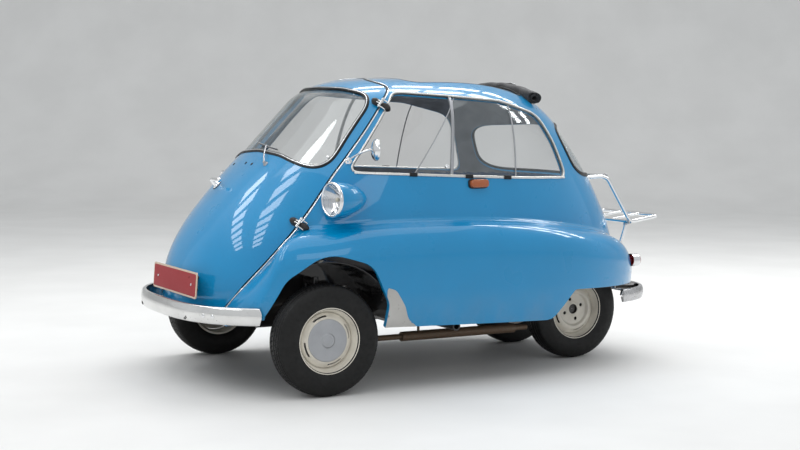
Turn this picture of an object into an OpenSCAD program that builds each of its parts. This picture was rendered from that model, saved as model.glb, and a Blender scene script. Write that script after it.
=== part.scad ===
// Bubble car with a front-opening door, one rear driving axle and a sliding canvas roof.
// Frame: X to the car's left, Y to the rear, Z up. The origin is on the ground, mid-wheelbase.

/* [Chassis] */
// Distance between the front and rear axles
wheelbase = 1500; // [1400:10:1600]
// Distance between the front tyre centres
front_track = 1200; // [1180:5:1210]
// Distance between the rear tyre centres
rear_track = 520; // [480:5:560]
// Outer radius of a tyre
tyre_r = 236; // [226:1:240]
// Width of a tyre
tyre_w = 122; // [110:1:126]
// Radius at the outer lip of a rim
rim_r = 143; // [138:1:148]
// Outer diameter of the main frame tubes
frame_tube = 45; // [38:1:52]

/* [Body] */
// Half width of the cabin at its widest
cabin_half_w = 600; // [585:1:610]
// Half width over the lower side bulges
bulge_half_w = 690; // [675:1:700]
// Height of the roof
roof_h = 1343; // [1325:1:1360]
// Thickness of the body wall
wall = 22; // [16:1:30]
// Thickness of the door
door_wall = 34; // [28:1:40]
// Gap all round the door
seam_gap = 10.5; // [10:0.5:13]
// Gap all round the engine lid
lid_gap = 9; // [8:0.5:12]
// Thickness of the window panes
glass_t = 5; // [4:0.5:6]

/* [Fittings] */
// Diameter of the steering wheel
steering_wheel_d = 380; // [340:5:390]
// Radius of a headlamp pod
lamp_r = 78; // [70:1:84]
// Diameter of the luggage rack tubes
rack_tube = 18; // [14:1:22]
// Radius of the rolled canvas roof
roll_r = 36; // [28:1:40]

/* [Hidden] */
$fn = 48;

front_y = -wheelbase / 2;
rear_y = wheelbase / 2;
hub_z = tyre_r;
front_x = front_track / 2;
rear_x = rear_track / 2;
kingpin_x = front_x - 90;

blue = [0.16, 0.5, 0.74];
cream = [0.86, 0.83, 0.74];
steel_grey = [0.55, 0.57, 0.6];
chrome = [0.82, 0.83, 0.85];
rubber_black = [0.06, 0.06, 0.07];
frame_black = [0.09, 0.09, 0.1];
canvas_grey = [0.2, 0.2, 0.22];
glass_tint = [0.75, 0.82, 0.84, 0.35];

// Lines plan of the cabin, one row per level, from the ground side up:
// height, front, rear, half width, place of the widest point, front and rear squareness.
cabin_rows = [
    [250, -1160, 1050, 0.933, -250, 2.4, 2.45],
    [330, -1190, 1075, 0.967, -250, 2.4, 2.45],
    [400, -1197, 1085, 0.987, -250, 2.4, 2.45],
    [500, -1182, 1075, 0.997, -250, 2.4, 2.45],
    [600, -1140, 1048, 1.000, -250, 2.4, 2.45],
    [700, -1073, 1005, 1.000, -250, 2.4, 2.45],
    [800, -988, 950, 0.992, -230, 2.4, 2.45],
    [904, -890, 885, 0.973, -210, 2.4, 2.45],
    [1000, -790, 815, 0.947, -180, 2.4, 2.45],
    [1096, -697, 738, 0.908, -140, 2.4, 2.40],
    [1188, -612, 648, 0.847, -100, 2.4, 2.35],
    [1255, -548, 550, 0.763, -60, 2.4, 2.30],
    [1305, -450, 445, 0.617, -30, 2.35, 2.25],
    [1332, -320, 330, 0.433, -10, 2.3, 2.2],
    [1343, -130, 170, 0.150, 0, 2.3, 2.2]
];
body_low = 250;
roof_top = 1343;

// Height of the shoulder crease against the plan angle: -90 is the nose, 90 the tail.
shoulder_rows = [
    [-90, 240], [-66, 240], [-58.3, 370], [-50.2, 462], [-44.8, 555], [-41, 640],
    [-37, 682], [-25, 694], [-10, 712], [6, 712], [18, 696], [31, 666], [52, 613],
    [68, 540], [80, 490], [90, 470]
];
shoulder_drop = 140;

// ---------------------------------------------------------------- curve helpers

function seg_of(rows, v, i = 0) =
    i >= len(rows) - 2 || v < rows[i + 1][0] ? i : seg_of(rows, v, i + 1);

function slope(rows, i, c) =
    let (a = max(0, i - 1), b = min(len(rows) - 1, i + 1))
    (rows[b][c] - rows[a][c]) / (rows[b][0] - rows[a][0]);

// Smooth value of column c at height or angle v.
function smooth(rows, v, c) =
    let (
        i = seg_of(rows, v),
        h = rows[i + 1][0] - rows[i][0],
        u = min(1, max(0, (v - rows[i][0]) / h)),
        m0 = slope(rows, i, c) * h,
        m1 = slope(rows, i + 1, c) * h
    )
    (2 * u ^ 3 - 3 * u ^ 2 + 1) * rows[i][c] + (u ^ 3 - 2 * u ^ 2 + u) * m0
    + (3 * u ^ 2 - 2 * u ^ 3) * rows[i + 1][c] + (u ^ 3 - u ^ 2) * m1;

// Straight-line value of column 1 at v.
function lerp_row(rows, v) =
    let (i = seg_of(rows, v), u = (v - rows[i][0]) / (rows[i + 1][0] - rows[i][0]))
    rows[i][1] + (rows[i + 1][1] - rows[i][1]) * min(1, max(0, u));

function sgn_pow(v, p) = sign(v) * abs(v) ^ p;

// Point of an egg-shaped plan outline.
function plan_point(half_w, y0, y1, mid, n0, n1, a) =
    let (n = sin(a) < 0 ? n0 : n1, len_y = sin(a) < 0 ? mid - y0 : y1 - mid)
    [half_w * sgn_pow(cos(a), 2 / n), mid + len_y * sgn_pow(sin(a), 2 / n)];

function cabin_xy(z, a) =
    plan_point(
        cabin_half_w * smooth(cabin_rows, z, 3), smooth(cabin_rows, z, 1),
        smooth(cabin_rows, z, 2), smooth(cabin_rows, z, 4),
        smooth(cabin_rows, z, 5), smooth(cabin_rows, z, 6), a
    );

function bulge_xy(z, a) =
    let (k = max(0, min(1, (420 - z) / 170)) ^ 2)
    plan_point(bulge_half_w - 30 * k, -1185 + 20 * k, 1105 - 30 * k, -250, 3.2, 3.0, a);

// Plan angle folded on to one side of the car.
function side_angle(a) = atan2(sin(a), abs(cos(a)));

function shoulder_z(a) = lerp_row(shoulder_rows, side_angle(a));

function body_xy(z, a) =
    let (
        u = max(0, min(1, (shoulder_z(a) - z) / shoulder_drop)),
        r = sqrt(1 - (1 - u) ^ 2),
        c = cabin_xy(z, a),
        b = bulge_xy(z, a)
    )
    c + (b - c) * r;

function stretch_z(z) = z <= 930 ? z : 930 + (z - 930) * (roof_h - 930) / (roof_top - 930);

function body_point(z, a) = let (p = body_xy(z, a)) [p[0], p[1], stretch_z(z)];

// Outward unit normal from two small steps on the surface.
function body_normal(z, a) =
    let (
        du = body_point(z, a + 0.8) - body_point(z, a - 0.8),
        z1 = min(roof_top, z + 3),
        z0 = max(body_low, z - 3),
        dv = body_point(z1, a) - body_point(z0, a),
        n = cross(du, dv)
    )
    n / norm(n);

function body_inset(z, a, d) = body_point(z, a) - body_normal(z, a) * d;

// ---------------------------------------------------------------- body solid

columns = 64;
upper_rows = 15;
lower_rows = 6;

function grid_angles() = [for (i = [0:columns - 1]) i * 360 / columns + 180 / columns];

function grid_z(row, a) =
    let (crease = max(body_low + 14, shoulder_z(a)))
    row <= lower_rows
        ? body_low + (crease - body_low) * sin(90 * row / lower_rows)
        : crease + (roof_top - crease) * sin(90 * (row - lower_rows) / upper_rows);

// One closed ring of body points, inset by d.
function body_ring(row, d) = [
    for (a = grid_angles())
        let (z = grid_z(row, a))
        d == 0 ? body_point(z, a) : body_inset(z, a, d)
];

function dropped(ring, z) = [for (p = ring) [p[0], p[1], z]];

// Closed solid of the whole body, inset by d. The inset ones reach below the sill.
module body_solid(d = 0) {
    rings = [for (r = [0:lower_rows + upper_rows]) body_ring(r, d)];
    all_rings = d > 0 ? concat([dropped(rings[0], body_low - 40)], rings) : rings;
    last = len(all_rings) - 1;
    polyhedron(
        [for (ring = all_rings) each ring],
        concat(
            [[for (i = [0:columns - 1]) i]],
            [
                for (r = [0:last - 1])
                    for (i = [0:columns - 1])
                        let (j = (i + 1) % columns, p = r * columns, q = p + columns)
                        each [[p + i, q + i, q + j], [p + i, q + j, p + j]]
            ],
            [[for (i = [0:columns - 1]) last * columns + columns - 1 - i]]
        )
    );
}

// Skin between two insets of the body.
module body_skin(d0, d1) {
    difference() {
        body_solid(d0);
        body_solid(d1);
    }
}

// Prism along X from an outline of [y, z] points, drawn in by gap.
module side_prism(outline, x0, x1, gap = 0) {
    translate([x0, 0, 0])
        rotate([90, 0, 90])
            linear_extrude(x1 - x0)
                offset(delta = -gap)
                    polygon(outline);
}

// Prism along Y from an outline of [x, z] points, drawn in by gap.
module front_prism(outline, y0, y1, gap = 0) {
    translate([0, y1, 0])
        rotate([90, 0, 0])
            linear_extrude(y1 - y0)
                offset(delta = -gap)
                    polygon(outline);
}

// Outline with each corner [x, y, radius] rounded by an arc.
function rounded(corners, steps = 5) = [
    for (i = [0:len(corners) - 1])
        let (
            n = len(corners),
            p = [corners[i][0], corners[i][1]],
            q0 = corners[(i + n - 1) % n],
            q1 = corners[(i + 1) % n],
            a = [q0[0], q0[1]] - p,
            b = [q1[0], q1[1]] - p,
            ua = a / norm(a),
            ub = b / norm(b),
            half = acos(max(-1, min(1, ua * ub))) / 2,
            cut = min(corners[i][2] / tan(half), 0.48 * norm(a), 0.48 * norm(b)),
            s = p + ua * cut,
            e = p + ub * cut
        )
        each corners[i][2] == 0
            ? [p]
            : [
                for (k = [0:steps])
                    let (t = k / steps)
                    s * (1 - t) ^ 2 + p * 2 * t * (1 - t) + e * t ^ 2
            ]
];

function mirrored_x(half) = concat(
    half,
    [for (i = [len(half) - 1:-1:0]) if (half[i][0] > 0.01) [-half[i][0], half[i][1], half[i][2]]]
);

// ---------------------------------------------------------------- outlines

// Rear edge of the door in side view, from the nose up to the roof.
door_edge = [
    [-1112, 325], [-1077, 370], [-1005, 462], [-931, 555], [-808, 709], [-717, 829],
    [-567, 1014], [-403, 1202], [-333, 1272], [-290, 1305], [-250, 1337], [-232, 1500]
];

// Left edge of the door in front view, up to where the side view takes over.
door_side = [
    [312, 325], [344, 370], [411, 462], [450, 555], [476, 640], [500, 700], [620, 760], [680, 900],
    [680, 1500]
];
door_low = 325;

// Space that the door fills, drawn back by gap on its three edges.
module door_region(gap) {
    side = [for (p = door_edge) [p[0] + (p[1] < 640 ? 70 : 0), p[1]]];
    back = [for (i = [len(door_side) - 1:-1:0]) [-door_side[i][0], door_side[i][1]]];
    intersection() {
        side_prism(
            concat([[-1500, door_low], [side[0][0], door_low]], side, [[-1500, 1500]]),
            -800, 800, gap
        );
        front_prism(concat(door_side, back), -1400, 200, gap);
    }
}

windscreen_corners = mirrored_x([
    [0, 1290, 0], [290, 1270, 60], [385, 1232, 50], [444, 945, 28], [400, 948, 30],
    [205, 1001, 60], [0, 1010, 0]
]);

side_window_corners = [
    [-596, 930, 14], [-322, 1274, 55], [200, 1240, 200], [438, 1178, 130], [508, 1050, 160],
    [562, 884, 26]
];

rear_window_corners = mirrored_x([[0, 1140, 0], [375, 1125, 90], [432, 890, 60], [0, 880, 0]]);

arch_corners = [
    [-1002, 240, 0], [-1000, 338, 16], [-925, 490, 120], [-765, 606, 170], [-560, 545, 110],
    [-487, 380, 70], [-506, 240, 0]
];

// Lower edge of the body in side view: sill, the rise behind it, then the tail.
sill_cut = [
    [-1300, 200], [-1300, 285], [-990, 280], [-480, 277], [380, 252], [500, 385],
    [1300, 362], [1300, 200]
];
wing_low = 325;

engine_lid_corners = [
    [290, 345, 30], [290, 635, 40], [590, 605, 40], [590, 415, 25], [505, 405, 20], [470, 345, 25]
];

roof_front = -190;
roof_rear = 430;
roof_half_w = 330;

module roof_opening(grow = 0) {
    translate([0, 0, 1150])
        linear_extrude(300)
            offset(r = 70)
                square_between(
                    -roof_half_w + 70 - grow, roof_front + 70 - grow,
                    roof_half_w - 70 + grow, roof_rear - 70 + grow
                );
}

module square_between(x0, y0, x1, y1) {
    translate([x0, y0])
        square([x1 - x0, y1 - y0]);
}

module side_window_prism(grow = 0) {
    for (s = [0, 1])
        mirror([s, 0, 0])
            translate([250, 0, 0])
                rotate([90, 0, 90])
                    linear_extrude(500)
                        offset(r = grow)
                            polygon(rounded(side_window_corners));
}

module windscreen_prism(grow = 0) {
    translate([0, -350, 0])
        rotate([90, 0, 0])
            linear_extrude(700)
                offset(r = grow)
                    polygon(rounded(windscreen_corners));
}

module rear_window_prism(grow = 0) {
    translate([0, 1100, 0])
        rotate([90, 0, 0])
            linear_extrude(700)
                offset(r = grow)
                    polygon(rounded(rear_window_corners));
}

module lid_prism(grow) {
    translate([-760, 0, 0])
        rotate([90, 0, 90])
            linear_extrude(300)
                offset(r = grow)
                    polygon(rounded(engine_lid_corners));
}

// Body wall without the door, windows, arches, roof opening and under-edge.
module body_wall() {
    difference() {
        body_skin(0, wall);
        door_region(0);
        side_window_prism();
        rear_window_prism();
        roof_opening();
        side_prism(rounded(arch_corners), 300, 800);
        side_prism(rounded(arch_corners), -800, -300);
        side_prism(sill_cut, -800, 800);
        for (s = [0, 1])
            mirror([s, 0, 0])
                translate([350, -1300, 200])
                    cube([400, 320, wing_low - 200]);
    }
}

panel_z = 690;
tail_y = 840;

module body_part(x0, x1, y0, y1, z0, z1) {
    resize([0, 0, 0])
        intersection() {
            body_wall();
            translate([x0, y0, z0])
                cube([x1 - x0, y1 - y0, z1 - z0]);
        }
}

module cabin_shell() {
    color(blue) body_part(-800, 800, -1300, 1300, panel_z, 1400);
}

module left_side_panel() {
    color(blue) body_part(0, 800, -1300, tail_y, 200, panel_z);
}

module right_side_panel() {
    color(blue)
        resize([0, 0, 0])
            difference() {
                intersection() {
                    body_wall();
                    translate([-800, -1300, 200])
                        cube([800, 1300 + tail_y, panel_z - 200]);
                }
                lid_prism(lid_gap);
            }
}

module tail_panel() {
    color(blue) body_part(-800, 800, tail_y, 1300, 200, panel_z);
}

module engine_lid() {
    color(blue)
        resize([0, 0, 0]) {
            intersection() {
                body_skin(0, wall - 6);
                lid_prism(0);
            }
            lid_lugs();
        }
}

// Two lugs inside the lid's top edge that reach up behind the panel, which carries them.
module lid_lugs() {
    behind = wall + 0.3;
    thick = 6;
    intersection() {
        union() {
            body_skin(behind, behind + thick);
            intersection() {
                body_skin(8, behind + thick);
                lid_prism(0);
            }
        }
        for (y = [370, 500])
            translate([-760, y, 592])
                cube([200, 30, 58]);
    }
}

lid_hinge = [-654.5, 350, 635];
lid_along = [0.16, 0.984, -0.088];

// Rod along the inside of the panel that the two lugs turn about.
module lid_hinge_pin() {
    color(steel_grey)
        rod(lid_hinge + 12 * lid_along, lid_hinge + 185 * lid_along, 10.6);
}

module front_door() {
    color(blue)
        resize([0, 0, 0])
            difference() {
                intersection() {
                    body_skin(0, door_wall);
                    door_region(seam_gap);
                }
                windscreen_prism();
            }
}

// ---------------------------------------------------------------- glazing

pane_inset = 9;

module windscreen() {
    color(glass_tint)
        resize([0, 0, 0])
            intersection() {
                body_skin(pane_inset, pane_inset + glass_t);
                windscreen_prism();
            }
}

module rear_window() {
    color(glass_tint)
        resize([0, 0, 0])
            intersection() {
                body_skin(pane_inset, pane_inset + glass_t);
                rear_window_prism();
            }
}

// Front edge of the sliding pane, pushed half way back on the left side.
left_slide = [[-340, 880], [-10, 1300], [700, 1300], [700, 850]];
right_slide = [[-620, 850], [-620, 1300], [700, 1300], [700, 850]];

module side_panes(slide, x0, x1) {
    color(glass_tint)
        resize([0, 0, 0])
            intersection() {
                body_skin(pane_inset, pane_inset + glass_t);
                side_window_prism();
                side_prism(slide, x0, x1);
            }
}

module left_side_windows() {
    side_panes(left_slide, 200, 800);
}

module right_side_windows() {
    side_panes(right_slide, -800, -200);
}

// ---------------------------------------------------------------- inside the body

housing_r = 300;
housing_y = front_y + 5;
housing_z = 265;
housing_x = 400;

module wheel_housings() {
    color(frame_black)
        resize([0, 0, 0])
            intersection() {
                body_solid(wall + 1);
                for (s = [0, 1])
                    mirror([s, 0, 0])
                        difference() {
                            translate([housing_x, housing_y, housing_z])
                                rotate([0, 90, 0])
                                    cylinder(r = housing_r, h = 300);
                            translate([housing_x + 4, housing_y, housing_z])
                                rotate([0, 90, 0])
                                    cylinder(r = housing_r - 4, h = 300);
                            translate([0, -1400, floor_z - 200])
                                cube([800, 2000, 200]);
                        }
            }
}

floor_z = 292;
floor_t = 5;

module floor_pan() {
    color(frame_black)
        resize([0, 0, 0])
            difference() {
                intersection() {
                    body_solid(door_wall + 3);
                    translate([-800, -1080, floor_z])
                        cube([1600, 1080 + bulkhead_y, floor_t]);
                }
                for (s = [0, 1])
                    mirror([s, 0, 0])
                        translate([housing_x - 2, housing_y - housing_r - 60, 200])
                            cube([500, 2 * housing_r + 70, 200]);
            }
}

bulkhead_y = 322;
shelf_z = 800;

// Wall behind the bench, with the parcel shelf on top of it.
module rear_bulkhead() {
    color(frame_black)
        resize([0, 0, 0])
            intersection() {
                body_solid(wall + 1);
                union() {
                    translate([-800, bulkhead_y, floor_z])
                        cube([1600, 5, shelf_z - floor_z]);
                    translate([-800, bulkhead_y, shelf_z])
                        cube([1600, 700, 6]);
                }
            }
}

bench_half_w = 500;
bench_front = -230;
bench_depth = 525;

module bench_base() {
    inner = 15;
    color(frame_black)
        difference() {
            translate([-bench_half_w + 20, bench_front + 20, floor_z + floor_t])
                cube([2 * bench_half_w - 40, bench_depth - 30, 130]);
            translate([-bench_half_w + 20 + inner, bench_front + 20 + inner, floor_z + floor_t - 1])
                cube([2 * (bench_half_w - 20 - inner), bench_depth - 30 - 2 * inner, 119]);
        }
}

module rounded_box(size, r) {
    translate([r, r, r])
        minkowski() {
            cube([size[0] - 2 * r, size[1] - 2 * r, size[2] - 2 * r]);
            sphere(r, $fn = 16);
        }
}

cushion_z = floor_z + floor_t + 130;
cushion_h = 120;
back_z = cushion_z + cushion_h + 8.6;

module bench_cushion() {
    color(canvas_grey)
        translate([-bench_half_w, bench_front, cushion_z])
            rounded_box([2 * bench_half_w, bench_depth, cushion_h], 24);
}

module bench_back() {
    color(canvas_grey)
        translate([-bench_half_w, bench_front + bench_depth - 115, back_z])
            rotate([-8, 0, 0])
                rounded_box([2 * bench_half_w, 85, 310], 24);
}

// Gear gate on the left wall, with its lever and knob.
module gear_lever() {
    lever = [545, -330, 750];
    color(chrome)
        resize([0, 0, 0])
            intersection() {
                body_solid(wall);
                union() {
                    $fn = 20;
                    rod_chain([lever, lever + [-8, 0, 60], lever + [-30, 0, 130]], 12);
                    translate(lever + [-32, 0, 138])
                        sphere(d = 34);
                    translate([538, -370, 725])
                        cube([90, 80, 40]);
                }
            }
}

module pedals() {
    color(rubber_black)
        for (x = [40, 120, 250])
            translate([x, -930, floor_z + floor_t]) {
                translate([15, 0, 0])
                    cylinder(d = 10, h = 60);
                translate([0, -8, 52])
                    cube([50, 12, 50]);
            }
}

engine_size = [250, 178, 290];

// Plain block of the engine's size, in front of the right rear wheel.
module engine_block() {
    color(steel_grey)
        translate([-430, bulkhead_y + 5, floor_z])
            cube(engine_size);
}

// ---------------------------------------------------------------- chassis

frame_z = floor_z - frame_tube / 2;
rail_x = 235;
jack_x = 625;
jack_y = -120;
jack_z = frame_z - 16;
jack_r = 12.5;
jack_depth = 80;
post_x = 425;

module tube_x(x0, x1, y, z, d) {
    translate([min(x0, x1), y, z])
        rotate([0, 90, 0])
            cylinder(d = d, h = abs(x1 - x0));
}

module tube_y(y0, y1, x, z, d) {
    translate([x, y0, z])
        rotate([-90, 0, 0])
            cylinder(d = d, h = y1 - y0);
}

// Two long tubes, three cross tubes and the jacking tube with its open ends.
module chassis_frame() {
    pad = 50;
    color(frame_black)
        difference() {
            union() {
                for (s = [-1, 1]) {
                    tube_y(-900, 470, s * rail_x, frame_z, frame_tube);
                    translate([s * post_x - pad / 2, front_y - pad / 2, frame_z])
                        cube([pad, pad, floor_z - frame_z]);
                }
                tube_x(-post_x, post_x, front_y, frame_z, frame_tube - 3);
                tube_x(-rail_x, rail_x, 440, frame_z, frame_tube);
                tube_x(-jack_x, jack_x, jack_y, jack_z, 38);
            }
            for (s = [-1, 1])
                tube_x(s * (jack_x - jack_depth), s * (jack_x + 1), jack_y, jack_z, 2 * jack_r);
        }
}

kingpin_low = 190;
kingpin_high = 490;
kingpin_r = 14;
arm_z = 470;
arm_d = 34;

// Upright post, arm and kingpin on each side.
module kingpin_posts() {
    color(frame_black)
        for (s = [-1, 1])
            union() {
                translate([s * post_x, front_y, floor_z])
                    cylinder(d = 36, h = arm_z - floor_z);
                tube_x(s * post_x, s * kingpin_x, front_y, arm_z, arm_d);
                translate([s * kingpin_x, front_y, kingpin_low])
                    cylinder(r = kingpin_r, h = kingpin_high - kingpin_low);
            }
}

pin_gap = 0.08;
stub_r = 14;
drum_r = 95;
drum_in = -46;
drum_out = -8;

// Stub axle with its sleeve, brake back plate, spring arm and spring unit, for the left side.
module knuckle() {
    sleeve_top = arm_z - arm_d / 2 - 6;
    spring_y = front_y + 135;
    color(steel_grey)
        difference() {
            union() {
                translate([kingpin_x, front_y, kingpin_low + 8])
                    cylinder(r = kingpin_r + 8, h = sleeve_top - kingpin_low - 8);
                tube_x(kingpin_x, front_x + 8, front_y, hub_z, 2 * stub_r);
                tube_x(front_x + drum_in - 14, front_x + drum_in - 6, front_y, hub_z, 2 * drum_r);
                translate([kingpin_x - 12, front_y, hub_z - 30])
                    cube([24, 135, 34]);
                translate([kingpin_x - 15, spring_y, hub_z - 30])
                    cylinder(d = 44, h = 240);
            }
            translate([kingpin_x, front_y, 0])
                cylinder(r = kingpin_r + pin_gap, h = 700);
        }
}

module left_knuckle() {
    knuckle();
}

module right_knuckle() {
    mirror([1, 0, 0])
        knuckle();
}

lug_pcd = 80;
lug_r = 6.5;
disc_in = 22;

// Rim, dished disc, brake drum and hub of one wheel, turned about X.
module rim() {
    difference() {
        union() {
            rotate([0, 90, 0])
                rotate_extrude()
                    rim_wall();
            tube_x(drum_in, drum_out, 0, 0, 2 * drum_r);
            tube_x(drum_in, disc_in, 0, 0, 110);
        }
        tube_x(drum_in - 1, 12, 0, 0, 2 * (stub_r + pin_gap));
        for (a = [45:90:315])
            rotate([a, 0, 0])
                tube_x(disc_in - 6, 60, 0, lug_pcd / 2, 2 * lug_r);
    }
}

// Closed section of the rim: well, flanges and dished disc.
module rim_wall() {
    t = 4;
    flange = rim_r;
    well = rim_r - 26;
    union() {
        polygon([
            [flange, 50], [flange, 45], [flange - 8, 45], [flange - 12, 25], [well, 16],
            [well, -16], [flange - 12, -25], [flange - 8, -45], [flange, -45], [flange, -50],
            [flange - 13, -50], [flange - 17, -28], [well - t, -20], [well - t, 20],
            [flange - 17, 28], [flange - 13, 50]
        ]);
        polygon([
            [well - 1, 6], [96, 22], [62, 27], [26, 27], [26, 22], [62, 22], [95, 17],
            [well - 1, 0]
        ]);
    }
}

module tyre() {
    side = tyre_w / 2;
    rotate([0, 90, 0])
        rotate_extrude()
            polygon(rounded([
                [rim_r, side - 10, 3], [rim_r + 30, side, 22], [tyre_r - 34, side - 2, 24],
                [tyre_r - 4, side - 16, 10], [tyre_r + 0.4, 0, 100], [tyre_r - 4, -side + 16, 10],
                [tyre_r - 34, -side + 2, 24], [rim_r + 30, -side, 22], [rim_r, -side + 10, 3]
            ], 6));
}

module hub_cap() {
    rotate([0, 90, 0])
        rotate_extrude()
            polygon([
                [0, 41], [8, 41], [20, 40], [25, 37], [27, 34], [80, 32], [88, 29], [88, 27.5],
                [60, 27], [30, 27], [20, 31], [0, 31]
            ]);
}

module at_front(side) {
    translate([side * front_x, front_y, hub_z])
        scale_side(side)
            children();
}

module at_rear(side) {
    translate([side * rear_x, rear_y, hub_z])
        scale_side(side)
            children();
}

module scale_side(side) {
    mirror([side < 0 ? 1 : 0, 0, 0])
        children();
}

module left_front_rim() {
    color(cream) at_front(1) rim();
}

module right_front_rim() {
    color(cream) at_front(-1) rim();
}

module left_front_tyre() {
    color(rubber_black) at_front(1) tyre();
}

module right_front_tyre() {
    color(rubber_black) at_front(-1) tyre();
}

module left_hub_cap() {
    color(steel_grey) at_front(1) hub_cap();
}

module right_hub_cap() {
    color(steel_grey) at_front(-1) hub_cap();
}

module rear_rims() {
    color(cream) {
        at_rear(1) rim();
        at_rear(-1) rim();
    }
}

module left_rear_tyre() {
    color(rubber_black) at_rear(1) tyre();
}

module right_rear_tyre() {
    color(rubber_black) at_rear(-1) tyre();
}

case_half = 150;
case_d = 80;
spring_x = 125;
spring_w = 40;

// Turning shaft that carries both rear wheels.
module rear_axle() {
    color(steel_grey)
        union() {
            tube_x(-rear_x - 10, rear_x + 10, rear_y, hub_z, 2 * stub_r);
            for (s = [-1, 1])
                tube_x(s * (case_half + 6), s * (rear_x + drum_in), rear_y, hub_z, 70);
        }
}

// Fixed case round the shaft, with a seat for each spring.
module axle_case() {
    color(steel_grey)
        difference() {
            union() {
                tube_x(-case_half, case_half, rear_y, hub_z, case_d);
                for (s = [-1, 1])
                    translate([s * spring_x - spring_w / 2, rear_y - 35, hub_z])
                        cube([spring_w, 70, floor_z - hub_z]);
            }
            tube_x(-case_half - 1, case_half + 1, rear_y, hub_z, 2 * (stub_r + pin_gap));
        }
}

module leaf_springs() {
    leaf = 7;
    color(frame_black)
        for (s = [-1, 1])
            union()
                for (i = [0:2])
                    translate([s * spring_x - spring_w / 2, 420 + 50 * i, floor_z + leaf * i])
                        cube([spring_w, 370 - 35 * i, leaf]);
}

exhaust_x = 290;
exhaust_z = 168;

// Long silencer low on the left, hung from the jacking tube.
module exhaust_pipe() {
    color([0.35, 0.24, 0.18])
        union() {
            tube_y(-210, 400, exhaust_x, exhaust_z, 44);
            tube_y(-330, -200, exhaust_x, exhaust_z, 26);
            tube_y(390, 470, exhaust_x, exhaust_z, 26);
            translate([exhaust_x, jack_y, exhaust_z])
                cylinder(d = 12, h = jack_z - 19 - exhaust_z);
        }
}

// ---------------------------------------------------------------- outside fittings

bumper_z = 340;
bumper_h = 74;

// Curved bar that follows an egg-shaped plan between two angles.
module bumper_bar(half_w, y_end, mid, n, a0, a1, h, t) {
    steps = 18;
    function at(d, a) = let (s = sign(y_end - mid))
        [(half_w - d) * sgn_pow(sin(a), 2 / n), mid + s * (abs(y_end - mid) - d) * sgn_pow(cos(a), 2 / n)];
    outer = [for (i = [0:steps]) at(0, a0 + (a1 - a0) * i / steps)];
    inner = [for (i = [steps:-1:0]) at(t, a0 + (a1 - a0) * i / steps)];
    linear_extrude(h)
        polygon(concat(outer, inner));
}

module front_bumper() {
    color(chrome)
        resize([0, 0, 0])
            difference() {
                union() {
                    translate([0, 0, bumper_z - bumper_h / 2])
                        bumper_bar(690, -1262, -250, 3, -48, 48, bumper_h, 12);
                    for (s = [-1, 1])
                        translate([s * 260 - 20, -1232, 304])
                            cube([40, 130, 16]);
                }
                body_solid(0);
            }
}

module rear_bumper() {
    color(chrome)
        resize([0, 0, 0])
            difference() {
                union() {
                    translate([0, 0, 290])
                        bumper_bar(560, 1150, 250, 4, -62, 62, 60, 10);
                    for (s = [-1, 1])
                        translate([s * 300 - 20, 1000, 310])
                            cube([40, 135, 70]);
                }
                body_solid(0);
            }
}

// Straight rod between two points.
module rod(a, b, d) {
    v = b - a;
    translate(a)
        rotate([0, acos(v[2] / norm(v)), atan2(v[1], v[0])])
            cylinder(d = d, h = norm(v));
}

// Bent rod with a ball at each inner corner.
module rod_chain(points, d) {
    for (i = [0:len(points) - 2])
        rod(points[i], points[i + 1], d);
    for (i = [1:len(points) - 2])
        translate(points[i])
            sphere(d = d);
}

rack_half_w = 290;
rack_corner = [rack_half_w, 1080, 650];
rack_end = [rack_half_w, 1253, 676];
rack_shoulder = [rack_half_w, 930, 878];

function mirrored_point(p, s) = [s * p[0], p[1], p[2]];

module rack_cross(p, d) {
    rod([-p[0], p[1], p[2]], p, d);
}

// Cradle of two bent side tubes, cross tubes and a foot on the tail.
module luggage_rack() {
    color(chrome)
        resize([0, 0, 0])
            difference() {
                rack_tubes();
                body_solid(0);
            }
}

module rack_tubes() {
    $fn = 14;
    for (s = [-1, 1]) {
        rod_chain([
            [s * 250, 820, 868], mirrored_point(rack_shoulder, s),
            mirrored_point(rack_corner, s), mirrored_point(rack_end, s)
        ], rack_tube);
        translate(mirrored_point(rack_end, s))
            sphere(d = rack_tube);
        rod([s * 250, 1085, 652], [s * 250, 1060, 545], rack_tube);
    }
    rack_cross(rack_end, rack_tube);
    rack_cross(rack_corner, rack_tube);
    rack_cross(rack_shoulder, rack_tube);
    for (x = [-145, 0, 145])
        rod([x, rack_corner[1], rack_corner[2]], [x, rack_end[1], rack_end[2]], 12);
}

lamp_centre = [590, -712, 819];
lamp_turn = 8;

module at_lamp(side) {
    mirror([side < 0 ? 1 : 0, 0, 0])
        translate(lamp_centre)
            rotate([0, 0, lamp_turn])
                rotate([90, 0, 0])
                    children();
}

module headlamp_pods() {
    color(blue)
        resize([0, 0, 0])
            difference() {
                for (s = [-1, 1])
                    at_lamp(s)
                        rotate_extrude($fn = 40)
                            polygon([
                                [0, -4], [lamp_r - 10, -4], [lamp_r - 10, 4], [lamp_r, 4],
                                [lamp_r, -14], [lamp_r - 2, -50], [lamp_r - 12, -95],
                                [lamp_r - 34, -140], [lamp_r - 62, -168], [0, -178]
                            ]);
                body_solid(0);
            }
}

module headlamp_lenses() {
    color(glass_tint)
        for (s = [-1, 1])
            at_lamp(s)
                rotate_extrude()
                    polygon([
                        [0, -3.5], [lamp_r - 11, -3.5], [lamp_r - 11, 2], [lamp_r - 30, 12],
                        [lamp_r - 55, 18], [0, 21]
                    ]);
}

module side_indicators() {
    color([0.85, 0.4, 0.08])
        resize([0, 0, 0])
            difference() {
                for (s = [-1, 1])
                    translate([s * 592 - 18, -45, 852])
                        cube([36, 104, 42]);
                body_solid(0);
            }
}

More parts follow.
